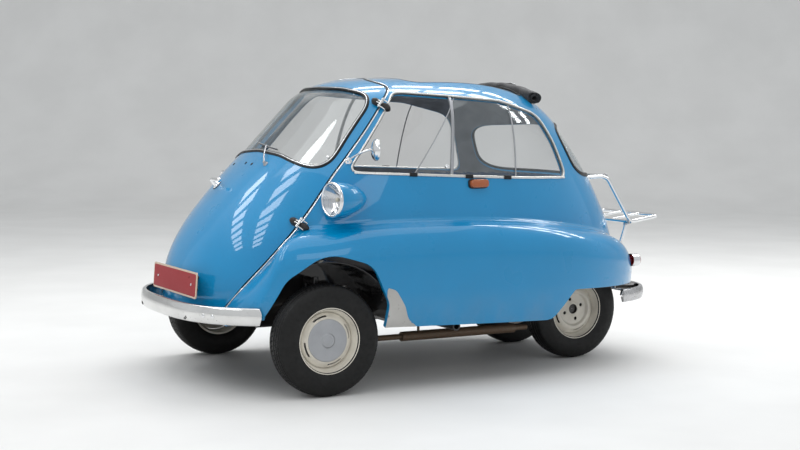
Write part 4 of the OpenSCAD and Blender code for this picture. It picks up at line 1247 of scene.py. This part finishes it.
def indicators():
    """Oblong amber lamps under the side windows, on a thin dark base."""
    lenses, bases = [], []
    for side in (1, -1):
        p, n = on_body(873, y=8.0, front=False, side=side)
        along = unit(np.cross(UP, n)) * side
        up = np.cross(n, along) * side
        for out, w, h, d, parts in ((0, 52, 22, 8, bases), (6, 47, 18, 17, lenses)):
            shape = oblong(w, h)
            rows = []
            steps = ((-12, 1), (d * 0.75, 1), (d * 0.93, 0.94), (d, 0.82), (d + 0.6, 0.4), (d + 0.8, 0.02))
            for depth, grow in steps:
                rows.append([p + n * (out + depth) + (along * a + up * b) * grow for a, b in shape])
            pts = np.array(rows).reshape(-1, 3)
            middle = p + n * (out - 30)
            faces = grid_faces(len(rows), len(shape), closed_u=True).tolist()
            parts.append((pts, outward_faces(faces, pts - middle), unit(pts - middle)))
    for name, parts, mat, node in (
        ("indicator_bases", bases, seal_rubber, None),
        ("indicator_lenses", lenses, amber, "side_indicators"),
    ):
        points, faces, _ = joined(parts)
        make(name, points, faces, mat, "chassis", node)


indicators()


def tail_lights():
    lenses, rims = [], []
    for side in (1, -1):
        at = np.array([side * 430.0, 1010, 478])
        lenses.append(lathe([(-34, 27), (8, 27), (13, 24), (16, 16), (17, 0.1)], at, (0, 1, 0), 64))
        rims.append(lathe([(-34, 31), (2, 31), (6, 29.5), (7, 27.3), (4, 27)], at, (0, 1, 0), 64))
    make_joined("tail_lamp_lenses", lenses, red_lens, "chassis", "tail_lamps")
    make_joined("tail_lamp_rims", rims, chrome, "chassis")


tail_lights()

# ---------------------------------------------------------------- bumpers and rack


def plan_run(half, y_end, mid, n, first, last, z, count):
    """Path round an end of the car at a level, with its upward and outward directions."""
    a = np.linspace(first, last, count)
    x, y = plan_point(half, y_end, y_end, mid, n, n, a)
    path = np.stack([x, y, np.full(count, float(z))], -1)
    t = tangents(path)
    out = unit(np.cross(t, UP))
    middle = np.array([0, mid, z])
    if ((path - middle) * out).sum() < 0:
        out = -out
    return path, np.tile(UP, (count, 1)), out


def blade(path, up, out, profile, round_end):
    """Bar swept along a path whose depth closes in a curve over the last stretch of each end."""
    length = run_length(path)
    share = np.clip(np.minimum(length, length[-1] - length) / round_end, 0.0, 1)
    grow = np.sqrt(np.clip(1 - (1 - share) ** 2.4, 0.01, 1))[:, None]
    return sweep(path, up * grow, out, profile)


def rolled_bar(h, t):
    """Section of a pressed bumper: a crowned face, a rolled lip above and below, hollow behind."""
    face = [
        (-h, -9), (-h, -3), (-h + 2.5, 0), (-h + 8, 2.5), (-h * 0.4, t - 1), (0, t), (h * 0.4, t - 1),
        (h - 8, 3), (h - 3, 1), (h, -3), (h, -15),
    ]
    back = [
        (h - 2.5, -15), (h - 3, -4), (h - 9, 0), (h * 0.4, t - 4.5), (0, t - 3.5), (-h * 0.4, t - 4.5),
        (-h + 9, -1), (-h + 3, -5), (-h + 2.5, -9),
    ]
    return np.array(face + back, float)


def dome(at, axis, radius, height):
    """Round head on a surface, its foot sunk a little."""
    turns = np.linspace(0, math.pi / 2, 8)
    curve = [(height * math.sin(u), radius * math.cos(u) + 0.05) for u in turns]
    return lathe([(-4, radius)] + curve, at, axis, 24)


def bumpers():
    """Two bumper blades on arms, the front one with two bolts a side."""
    front = blade(*plan_run(684, -1254, -250, 3, -138, -42, 340, 120), rolled_bar(37, 8), 12)
    rear = blade(*plan_run(554, 1143, 250, 4, 28, 152, 320, 120), rolled_bar(30, 7), 10)
    bolts, arms = [], []
    for side in (1, -1):
        for a in (-66, -61.5):
            path, _, out = plan_run(690, -1262, -250, 3, a - 0.2, a + 0.2, 336, 3)
            bolts.append(dome(mirrored(path[1], side), mirrored(out[1], side), 9, 4))
        for bends in (
            [(262, -1240, 322), (262, -1180, 318), (250, -1090, 316)],
            [(300, 1128, 330), (298, 1050, 332), (290, 1000, 336)],
        ):
            arms.append(tube(mirrored(bends, side), 13, 16))
    make_joined("front_bumper_blade", [front], pitted_chrome, "chassis", "front_bumper")
    make_joined("rear_bumper_blade", [rear], worn_chrome, "chassis", "rear_bumper")
    make_joined("bumper_bolts", bolts, chrome, "chassis")
    make_joined("bumper_arms", arms, under_black, "chassis")


bumpers()


def clamp(at, axis, radius):
    """Short sleeve round a tube."""
    half, ring = 9, [(0, 0.2), (0, 2.2), (1, 3)]
    low = [(-half + a, radius + r) for a, r in ring]
    return lathe(low + [(-a, r) for a, r in reversed(low)], at, axis, 24)


def foot(level, radius, side):
    """Round foot of the rack on the tail."""
    p, n = on_body(level, x=250.0, front=False, side=side)
    steps = ((-3, 0), (3, 0), (5, -2), (6, -8))
    return lathe([(a, radius + r) for a, r in steps] + [(7, 0.1)], p, n, 32)


def rack():
    """Bent side tubes with cross tubes, slats, feet and clamps."""
    r = 9
    corner, end = np.array([290, 1080, 650.0]), np.array([290, 1253, 676.0])
    upper, top_end = np.array([290, 930, 878.0]), np.array([250, 836, 872.0])
    half = [top_end, upper, corner, end]
    loop = half + [mirrored(p, -1) for p in reversed(half)]
    tubes, clamps, feet = [tube(rounded_path(loop, 34, 8), r, 18)], [], []
    for p in (corner, upper):
        tubes.append(tube(np.linspace(p, mirrored(p, -1), 5), r - 1, 16))
    for side in (1, -1):
        leg = mirrored([(250, 1085, 650), (250, 1076, 610), (250, 1055, 548)], side)
        tubes.append(tube(spline(leg, 6), r - 1, 16))
        feet += [foot(548, 20, side), foot(872, 18, side)]
        for p in (corner, upper):
            clamps.append(clamp(mirrored(p - [14, 0, 0], side), (1, 0, 0), r))
        clamps.append(clamp((side * 250, 1083, 640), (0, 0.15, 1), r - 1))
    for x in (-145, 0, 145):
        slat = [(x, corner[1], corner[2] + 2), (x, (corner[1] + end[1]) / 2, 666), (x, end[1], end[2] + 2)]
        tubes.append(tube(spline(slat, 4), 6, 12))
    make_joined("rack_tubes", tubes, chrome, "chassis", "luggage_rack")
    make_joined("rack_clamps", clamps, worn_chrome, "chassis")
    make_joined("rack_feet", feet, chrome, "chassis")


rack()

# ---------------------------------------------------------------- canvas roof

# The roll lies along an arc of the roof, on this radius, at this place.
ROLL_ARC, ROLL_Y, ROLL_Z = 1250.0, 466.0, 1302.0
# Half the roll's length and the place of its straps, as degrees on that arc.
ROLL_END, STRAP_AT = 16, 5.5
# How much the roll is spread along the car and pressed down.
SPREAD, PRESS = 1.12, 0.86


def rolled_canvas():
    """Grid of points on the roof's cloth, four turns of it, with ripples and dips under the straps."""
    t = np.linspace(0, 1, 220)
    theta = -0.9 + t * 8 * np.pi
    radius = 35.0 - 19.0 * t
    rng = np.random.default_rng(7)
    waves = [(rng.uniform(0.15, 0.9), rng.uniform(0, 6.3), rng.uniform(1, 3)) for _ in range(7)]
    fold = 9 * np.exp(-(((theta - 2.3) / 0.5) ** 2)) * (t < 0.2)
    rows = []
    for w in np.linspace(-ROLL_END, ROLL_END, 90):
        end_bulge = 1 - 0.10 * (abs(w) / ROLL_END) ** 6
        ripple = sum(0.55 * np.sin(w * f * 2.1 + p + theta * k * 0.5) for f, p, k in waves)
        dip = sum(-3.5 * np.exp(-(((w - strap) / 1.2) ** 2)) for strap in (STRAP_AT, -STRAP_AT))
        r = (radius + (ripple + dip) * np.clip(1 - t * 1.4, 0, 1)) * end_bulge + fold
        y = ROLL_Y + r * np.cos(theta) * SPREAD
        reach = ROLL_ARC + r * np.sin(theta) * PRESS - 4
        a = math.radians(w)
        rows.append(np.stack([reach * math.sin(a), y, ROLL_Z - ROLL_ARC + reach * math.cos(a)], -1))
    return np.array(rows)


def roof_cloth():
    """The rolled cloth as one sheet with a thickness."""
    grid = rolled_canvas()
    faces = grid_faces(*grid.shape[:2]).tolist()
    piece = make("roof_cloth", grid.reshape(-1, 3), faces, canvas_cloth, "chassis", "canvas_roof")
    thick = piece.modifiers.new("thickness", "SOLIDIFY")
    thick.thickness = 1.6 * MM
    thick.offset = 0
    return piece


def roll_straps():
    """Two leather straps round the roll, with bright buckles."""
    straps, buckles = [], []
    section = [(-11, -1), (-11, 0.8), (-10, 1.4), (10, 1.4), (11, 0.8), (11, -1)]
    turns = np.linspace(-0.5, math.pi + 0.6, 40)
    at = 14
    for w in (-STRAP_AT, STRAP_AT):
        a = math.radians(w)
        across = np.array([math.cos(a), 0, -math.sin(a)])
        up = np.array([math.sin(a), 0, math.cos(a)])
        base = np.array([0, ROLL_Y, ROLL_Z - ROLL_ARC]) + up * (ROLL_ARC - 4)
        along = np.array([0, 1.0, 0])
        oval = [along * SPREAD * math.cos(g) + up * PRESS * math.sin(g) for g in turns]
        ring = base + np.array(oval) * 36
        t = tangents(ring)
        out = unit(np.cross(t, across))
        out = -out if out[20] @ up < 0 else out
        straps.append(sweep(ring, np.tile(across, (len(ring), 1)), out, section))
        corners = ((1, -8), (1, 8), (-1, 8), (-1, -8))
        loop = [ring[at] + out[at] * 3 + across * side * 13 + t[at] * v for side, v in corners]
        buckles.append(tube(loop, 1.6, 8, closed=True))
    make_joined("roll_straps", straps, strap_hide, "chassis")
    make_joined("roll_buckles", buckles, chrome, "chassis")


canvas = roof_cloth()
roll_straps()
opening_edge = edge_trim(whole.cut(roof_distance(whole)), strip_profile(8, 0.8, 9, shift=-3), longest=True)
make_joined("roof_opening_seal", opening_edge, seal_rubber, "chassis")

# ---------------------------------------------------------------- mirror, wiper, handle, plate, guards


def mirror_and_arm():
    """Round mirror on a bent arm, on the left side only."""
    p, n = on_body(976, y=-583.0)
    base = lathe([(-3, 17), (2, 17), (5, 15), (7, 10), (12, 8), (14, 5), (14, 0.1)], p, n, 40)
    arm = tube(spline([p + n * 8, (548, -566, 1008), (578, -540, 1024), (594, -522, 1027)], 8), 4, 14)
    axis = unit([math.sin(math.radians(10)), math.cos(math.radians(10)), 0])
    head = np.array([600.0, -520, 1026])
    bowl = [
        (-10, 0.1), (-9.6, 9), (-8, 22), (-4.5, 34), (0, 41), (5, 45), (10, 46), (13, 46), (14, 45),
        (13, 43.5),
    ]
    face = lathe([(12.6, 44), (12.9, 30), (13, 0.1)], head, axis, 72)
    make_joined("mirror_arm", [base, arm, lathe(bowl, head, axis, 72)], chrome, "chassis", "wing_mirror")
    make_joined("mirror_face", [face], mirror_bowl, "chassis")


def windscreen_wiper():
    """Spindle under the screen, a flat arm, and a spine with its rubber along the glass."""
    p, n = on_body(954, x=166.0)
    spindle = lathe([(-4, 12), (3, 12), (5, 10), (6, 7), (16, 6.5), (17, 5), (17, 0.1)], p, n, 32)
    spots = []
    for s in np.linspace(0, 1, 24):
        x = 220 * s - 60
        spots.append(on_body(1036 - 22 * s, x=abs(x), side=1 if x > 0 else -1))
    blade_path, blade_n = np.array([q for q, _ in spots]), np.array([m for _, m in spots])
    middle = blade_path[12] + blade_n[12] * 12
    arm_path = spline([p + n * 13, p * 0.62 + middle * 0.38 + n * 15, middle], 10)
    arm = sweep(arm_path, *frames(arm_path), circle(3.4, 12, 0.6))
    up = unit(np.cross(blade_n, tangents(blade_path)))
    spine = sweep(blade_path + blade_n * 9, up, blade_n, circle(2.4, 10))
    edge = [(-1.4, 3), (1.4, 3), (1.2, -1), (0.5, -4.5), (-0.5, -4.5), (-1.2, -1)]
    squeegee = sweep(blade_path + blade_n * 4, up, blade_n, edge)
    make_joined("wiper_arm", [spindle, arm, spine], cap_metal, "door", "wiper")
    make_joined("wiper_rubber", [squeegee], seal_rubber, "door")


def handle():
    """Turned lever on a round rose, with a black washer under it."""
    p, n = on_body(850, x=120.0, side=-1)
    rose = lathe([(-2, 21), (4, 21), (7, 18), (9, 12), (30, 10), (34, 8)], p, n, 40)
    washer = lathe([(-3, 25), (1.5, 25), (2.5, 23.5), (2.5, 20)], p, n, 40)
    bend = p + n * 34
    tip = bend + [100, -6, 6]
    lever = tube(spline([bend - n * 6, bend + n * 2, bend + [26, 2, 4], tip], 10), 8, 18)
    knob = lathe([(-10, 8), (-6, 10), (2, 11), (9, 8.5), (12, 0.1)], tip, (1, -0.06, 0), 28)
    make_joined("handle_lever", [rose, lever, knob], chrome, "door", "door_handle")
    make_joined("handle_washer", [washer], seal_rubber, "door")


def plaque(outline, place, rows):
    """Flat plate from an outline and its (inset, height) rows, from the back round to the face."""
    line = np.asarray(outline, float)
    t = unit(np.roll(line, -1, 0) - np.roll(line, 1, 0))
    inward_dir = np.stack([-t[:, 1], t[:, 0]], -1)
    if ((line.mean(0) - line) * inward_dir).sum() < 0:
        inward_dir = -inward_dir
    count = len(line)
    pts = [place(np.column_stack([line + inward_dir * inset, np.full(count, up)])) for inset, up in rows]
    faces = grid_faces(len(rows), count, closed_u=True).tolist()
    faces += [list(range(count))[::-1], [(len(rows) - 1) * count + i for i in range(count)]]
    pts = np.vstack(pts)
    return pts, outward_faces(faces, pts - pts.mean(0))


PLATE_AT, PLATE_W, PLATE_H, PLATE_LEAN = [-230.0, -1200, 394], 520, 112, math.radians(4)
PLATE_UP = np.array([0, math.sin(PLATE_LEAN), math.cos(PLATE_LEAN)])
PLATE_IN = np.array([0, math.cos(PLATE_LEAN), -math.sin(PLATE_LEAN)])


def number_plate():
    """Blank plate with a raised field and a border, two screws and four stays."""

    def place(q):
        return PLATE_AT + q[:, :1] * [1, 0, 0] + q[:, 1:2] * PLATE_UP - q[:, 2:] * PLATE_IN

    for name, inset, rows, mat in (
        ("plate_border", 0, [(0, -3), (0, 0.2), (0.4, 1.2), (1.4, 1.6)], plate_edge),
        ("plate_field", 8, [(0, -2), (0, 1.9), (0.3, 2.3), (1, 2.5)], plate_red),
    ):
        w, h, r = PLATE_W - inset, PLATE_H - inset, 14 - inset * 0.5
        outline = soft_outline([[inset, inset, r], [w, inset, r], [w, h, r], [inset, h, r]], 8)
        points, faces = plaque(outline, place, rows)
        piece = make(name, points, faces, mat, "door", "number_plate" if inset else None)
        piece.data.polygons.foreach_set("use_smooth", [False] * len(piece.data.polygons))
    screws = [dome(place(np.array([[x, 56.0, 2.4]]))[0], -PLATE_IN, 6, 3) for x in (60, 460)]
    stays = [tube([(x, -1196, z), (x * 0.97, -1150, z)], 9, 14) for x in (-150, 210) for z in (425, 475)]
    make_joined("plate_screws", screws, worn_chrome, "door")
    make_joined("plate_stays", stays, under_black, "door")


def stone_guards():
    """Thin plates on the sills behind the front arches."""
    skin = shell.cut(side_distance(shell, GUARD))
    proud = Skin(skin.p + skin.n * 1.7, skin.n, skin.q, skin.t)
    outer, edges, _ = panel_parts(proud, 1.5, 0.7, inner=False)
    make_joined("stone_guard_plates", [outer] + edges, guard_metal, "chassis", "stone_guards")


def nose_plugs():
    """Three rubber plugs in the door, over the nose."""
    plugs = []
    for x, z in ((-156, 942), (-16, 952), (53, 950)):
        spot, n = on_body(z, x=float(abs(x)), side=1 if x > 0 else -1)
        plugs.append(lathe([(-2, 7), (1, 7), (1.8, 5.5), (1.2, 3.5), (0.4, 2.5), (0.2, 0.1)], spot, n, 28))
    make_joined("nose_plugs", plugs, seal_rubber, "door")


mirror_and_arm()
windscreen_wiper()
handle()
number_plate()
stone_guards()
nose_plugs()

# ---------------------------------------------------------------- side window fittings


def side_point(y, z, side=1):
    """Point and normal of the body's side at this place in side view."""
    a = np.linspace(-90, 90, 721)
    line = body_point(np.full_like(a, z), a)
    angle = float(np.interp(y, line[:, 1], a))
    angle = 180 - angle if side < 0 else angle
    return body_point(np.array(z, float), angle), body_normal(np.array(z, float), np.array(angle))


def side_run(ends, side, depth, count):
    """Path on the body's side between places in side view, with its across and outward directions."""
    found = [side_point(y, z, side) for y, z in spline(ends, count)]
    n = np.array([m for _, m in found])
    p = np.array([q for q, _ in found]) + n * depth
    return p, unit(np.cross(n, tangents(p))), n


RAIL = [(-5, -9), (-6, 1), (-4.5, 3.5), (-2, 4.4), (3, 4.4), (5, 3), (6, 1), (6, -9)]
RAIL_CLIP = [(-8, -2), (-9, 4), (-7, 7.5), (7, 7.5), (9, 4), (8, -2)]
POST = [(-7, -4), (-7, 4), (-5, 6), (5, 6), (7, 4), (7, -4)]
# Lines in side view, as (along, level).
RAIL_LINE = [(-570, 927), (-300, 917), (0, 904), (300, 893), (545, 888)]
POST_LINE = [(-124, 908), (-100, 1080), (-66, 1262)]
FIXED_EDGE = [(228, 903), (240, 1050), (252, 1222)]
SLID_EDGE = [(slid_edge(z), z) for z in (916, 1030, 1150, 1262)]


def window_fittings():
    """Rails under the side windows with their clips, and the posts, pane edges and knobs of the panes."""
    rails, clips, posts, edges, knobs = [], [], [], [], []
    for side in (1, -1):
        p, across, n = side_run(RAIL_LINE, side, 0, 16)
        across = -across if across[5][2] < 0 else across
        rails.append(sweep(p, across, n, RAIL))
        rails.append(sweep(p + across * -3 + n * 2.6, across, n, circle(2.2, 10)))
        for y in (-320, -31, 182):
            i = int(np.argmin(np.abs(p[:, 1] - y)))
            span = slice(max(i - 1, 0), i + 2)
            clips.append(sweep(p[span], across[span], n[span], RAIL_CLIP))
        posts.append(sweep(*side_run(POST_LINE, side, -7, 16), POST))
        if side > 0:
            edges.append(sweep(*side_run(SLID_EDGE, side, -7, 12), [(-2, -2), (-2, 2.5), (2, 2.5), (2, -2)]))
        fixed = side_run(FIXED_EDGE, side, -7, 14)
        edges.append(sweep(*fixed, [(-2.5, -2), (-2.5, 3), (2.5, 3), (2.5, -2)]))
        q, m = side_point(-151, 949, side)
        knobs.append(lathe([(-7, 5), (2, 5), (4, 9), (9, 10), (12, 8), (13, 0.1)], q, m, 28))
    make_joined("window_rails", rails, window_frame, "chassis")
    make_joined("window_clips", clips, seal_rubber, "chassis")
    make_joined("window_posts", posts, cap_metal, "chassis")
    make_joined("pane_edges", edges, cap_metal, "chassis")
    make_joined("window_knobs", knobs, chrome, "chassis")


window_fittings()

# ---------------------------------------------------------------- seat

SEAT_FRONT, SEAT_DEPTH = -230.0, 525.0
CUSHION_Z, CUSHION_H, BACK_Z = 427.0, 120.0, 555.6


CHANNELS = range(-400, 500, 100)
CORNER, SEAT_STEP = 26, 9.0


def soft_block(size, crown):
    """Top and bottom of a padded slab: round edges, a crowned top and sewn channels across its width."""
    w, d, h = size
    uu, vv = np.meshgrid(np.linspace(-1, 1, int(w / SEAT_STEP)), np.linspace(-1, 1, int(d / SEAT_STEP)))
    x, y = uu * w / 2, vv * d / 2
    dx = np.clip(np.abs(x) - (w / 2 - CORNER), 0, CORNER)
    dy = np.clip(np.abs(y) - (d / 2 - CORNER), 0, CORNER)
    drop = CORNER - np.sqrt(np.clip(CORNER**2 - np.minimum(np.hypot(dx, dy), CORNER) ** 2, 0, None))
    top = h / 2 - drop + crown * (1 - np.abs(uu) ** 4) * (1 - np.abs(vv) ** 4)
    for c in CHANNELS:
        groove = 5.5 * np.exp(-((x - c) ** 2) / 26.0) + 2.5 * np.exp(-((x - c) ** 2) / 900.0)
        top = top - groove * (1 - np.abs(vv) ** 6)
    return np.stack([x, y, top], -1), np.stack([x, y, drop - h / 2], -1)


def stuffed(name, size, crown, place, node):
    """Cushion closed round from a crowned top and a flat bottom."""
    top, bottom = soft_block(size, crown)
    rows, cols = top.shape[:2]
    faces = grid_faces(rows, cols).tolist()
    under = [[i + rows * cols for i in f[::-1]] for f in faces]
    ring = [(0, j) for j in range(cols)] + [(i, cols - 1) for i in range(1, rows)]
    ring += [(rows - 1, j) for j in range(cols - 2, -1, -1)] + [(i, 0) for i in range(rows - 2, 0, -1)]
    ids = [i * cols + j for i, j in ring]
    rim = [[b, a, a + rows * cols, b + rows * cols] for a, b in zip(ids, ids[1:] + ids[:1])]
    points = place(np.vstack([top.reshape(-1, 3), bottom.reshape(-1, 3)]))
    piece = make(name, points, faces + under + rim, seat_cloth, "chassis", node)


BACK_LEAN = math.radians(-8)


def lie(q):
    """Puts the cushion on its base."""
    return q + [0, SEAT_FRONT + SEAT_DEPTH / 2, CUSHION_Z + CUSHION_H / 2 - 4]


def stand(q):
    """Stands the back up behind the cushion, leaning."""
    y, z = -q[:, 2], q[:, 1] + 155
    s, c = math.sin(BACK_LEAN), math.cos(BACK_LEAN)
    turned = np.column_stack([q[:, 0], y * c - z * s, y * s + z * c])
    return turned + [0, SEAT_FRONT + SEAT_DEPTH - 73, BACK_Z + 6]


stuffed("seat_cushion", (990, 510, 108), 6, lie, "bench_cushion")
stuffed("seat_back", (990, 300, 78), 4, stand, "bench_back")

# ---------------------------------------------------------------- steering wheel and the rest of the frame

COLUMN_TOP = np.array([170.0, -590, 735])
COLUMN_DIR = unit([0, -0.66, -0.7513])


def steering_wheel():
    """Slim ivory rim with three pairs of wire spokes, a boss and a horn push."""
    side = np.array([1.0, 0, 0])
    up = np.cross(COLUMN_DIR, side)
    turns = np.linspace(0, 2 * np.pi, 96, endpoint=False)
    ring = [COLUMN_TOP + 179 * (side * math.cos(a) + up * math.sin(a)) for a in turns]
    rim = tube(ring, 10.5, 16, closed=True)
    shape = [(-16, 0.1), (-16, 8), (-14, 22), (-8, 26), (4, 27), (12, 24), (14, 9)]
    boss = lathe(shape, COLUMN_TOP, COLUMN_DIR, 48)
    spokes = []
    for a in np.radians([90, 210, 330]):
        ray = side * math.cos(a) + up * math.sin(a)
        flank = -side * math.sin(a) + up * math.cos(a)
        for k in (-1, 1):
            bends = ((20, 5, 0), (100, 7, 3), (176, 9, 0))
            wire = [COLUMN_TOP + ray * r + flank * k * apart + COLUMN_DIR * down for r, apart, down in bends]
            spokes.append(tube(wire, 3, 10))
    push = lathe([(-17, 0.1), (-20, 6), (-19.5, 14), (-16, 17), (-14, 17)], COLUMN_TOP, COLUMN_DIR, 40)
    make_joined("wheel_rim_and_boss", [rim, boss], ivory, "steering", "steering_wheel")
    make_joined("wheel_spokes", spokes, chrome, "steering")
    make_joined("horn_push", [push], seal_rubber, "steering")


steering_wheel()

# Pieces of the frame that show as they are, with the look of each.
CAD_LOOKS = {
    "wheel_housings": under_black,
    "floor_pan": under_black,
    "rear_bulkhead": trim_grey,
    "chassis_frame": under_black,
    "engine_block": alloy,
    "kingpin_posts": under_black,
    "left_knuckle": steel,
    "right_knuckle": steel,
    "rear_axle": steel,
    "axle_case": steel,
    "leaf_springs": rusty,
    "exhaust_pipe": rusty,
    "bench_base": under_black,
    "gear_lever": chrome,
    "pedals": seal_rubber,
    "steering_column": under_black,
    "lid_hinge_pin": steel,
}
for node_name, look in CAD_LOOKS.items():
    mesh = bpy.data.objects[node_name].data
    mesh.materials.clear()
    mesh.materials.append(look)

# ---------------------------------------------------------------- studio

# Camera: place in metres, and its turn, tilt and roll in radians.
CAMERA_AT = (6.12864, -3.47549, 1.21159)
YAW, PITCH, ROLL = 1.0621, 0.0799, 0.0074
LENS = 66.93
# Floor behind the camera and in front of the wall, half its width, and the curve and height of the wall.
FLOOR_NEAR, FLOOR_FAR, FLOOR_HALF, COVE, WALL_TOP = -16, 10, 24, 4, 16
PANE_HEIGHT = 4.3


def studio():
    """Pale floor that curves up into a wall behind the car, under a soft sky."""
    line = [(FLOOR_NEAR, 0), (FLOOR_FAR, 0)]
    line += [(FLOOR_FAR + COVE * math.sin(t), COVE - COVE * math.cos(t)) for t in np.linspace(0.1, 1.5, 14)]
    line += [(FLOOR_FAR + COVE + 0.2, WALL_TOP)]
    turn = Matrix.Rotation(YAW, 4, "Z")
    verts = [turn @ Vector((x, y, z)) for y, z in line for x in (-FLOOR_HALF, FLOOR_HALF)]
    faces = [[2 * i, 2 * i + 1, 2 * i + 3, 2 * i + 2] for i in range(len(line) - 1)]
    mesh = bpy.data.meshes.new("studio_floor")
    mesh.from_pydata(verts, [], faces)
    mesh.polygons.foreach_set("use_smooth", [True] * len(mesh.polygons))
    floor = bpy.data.objects.new("studio_floor", mesh)
    bpy.context.scene.collection.objects.link(floor)
    mat, tree, shader = new_material("studio_concrete", (0.7, 0.7, 0.69), 0.6)
    clouds = ramp(tree, noise(tree, 1.6, 9), (0.69, 0.69, 0.68), (0.73, 0.73, 0.72), 0.35, 0.65)
    tree.links.new(clouds, shader.inputs["Base Color"])
    mesh.materials.append(mat)
    world = bpy.data.worlds.new("studio")
    world.use_nodes = True
    sky = world.node_tree.nodes["Background"]
    sky.inputs["Color"].default_value = (0.86, 0.88, 0.9, 1)
    sky.inputs["Strength"].default_value = 0.78
    bpy.context.scene.world = world


def light(name, at, towards, size, power):
    """Area lamp with its size in metres and its power in watts."""
    data = bpy.data.lights.new(name, "AREA")
    data.shape = "RECTANGLE"
    data.size, data.size_y = size
    data.energy = power
    lamp = bpy.data.objects.new(name, data)
    lamp.location = at
    lamp.rotation_mode = "QUATERNION"
    lamp.rotation_quaternion = (Vector(towards) - Vector(at)).to_track_quat("-Z", "Y")
    bpy.context.scene.collection.objects.link(lamp)
    return lamp


def pane_row(name, start, step, size, power):
    """Row of eight rooflights from a start, each a step further, lying square to the row."""
    for k in range(8):
        at = (start[0] + step[0] * k, start[1] + step[1] * k, PANE_HEIGHT)
        lamp = light(f"{name}_{k}", at, (at[0], at[1], 0), size, power)
        lamp.rotation_mode = "XYZ"
        lamp.rotation_euler = (0, 0, math.atan2(step[1], step[0]))


def lights():
    light("overhead", (0, 0, 7.5), (0, 0, 0), (9, 9), 190)
    light("side_wall", (9, -1.5, 4.5), (0, 0, 0.6), (5, 3), 60)
    pane_row("front_light", (-3.3, -2.8), (0.62, -0.62), (0.56, 0.8), 9)
    pane_row("near_light", (-1.0, -2.5), (0.6, -0.62), (0.56, 0.8), 9)
    pane_row("side_light", (-1.9, 0.2), (0.5, 0.8), (0.8, 0.45), 13)
    pane_row("far_light", (-2.9, 0.9), (0.5, 0.8), (0.8, 0.45), 13)


def camera():
    """Camera with a long lens, near the height of the roof."""
    d = Vector((-math.sin(YAW) * math.cos(PITCH), math.cos(YAW) * math.cos(PITCH), -math.sin(PITCH)))
    r = d.cross(Vector((0, 0, 1))).normalized()
    u = r.cross(d)
    right = r * math.cos(ROLL) + u * math.sin(ROLL)
    up = u * math.cos(ROLL) - r * math.sin(ROLL)
    data = bpy.data.cameras.new("photo_view")
    data.lens = LENS
    data.clip_end = 100
    cam = bpy.data.objects.new("photo_view", data)
    turn = Matrix((right, up, -d)).transposed().to_4x4()
    cam.matrix_world = Matrix.Translation(Vector(CAMERA_AT)) @ turn
    bpy.context.scene.collection.objects.link(cam)
    bpy.context.scene.camera = cam


studio()
lights()
camera()
bpy.context.scene.view_settings.view_transform = "Standard"
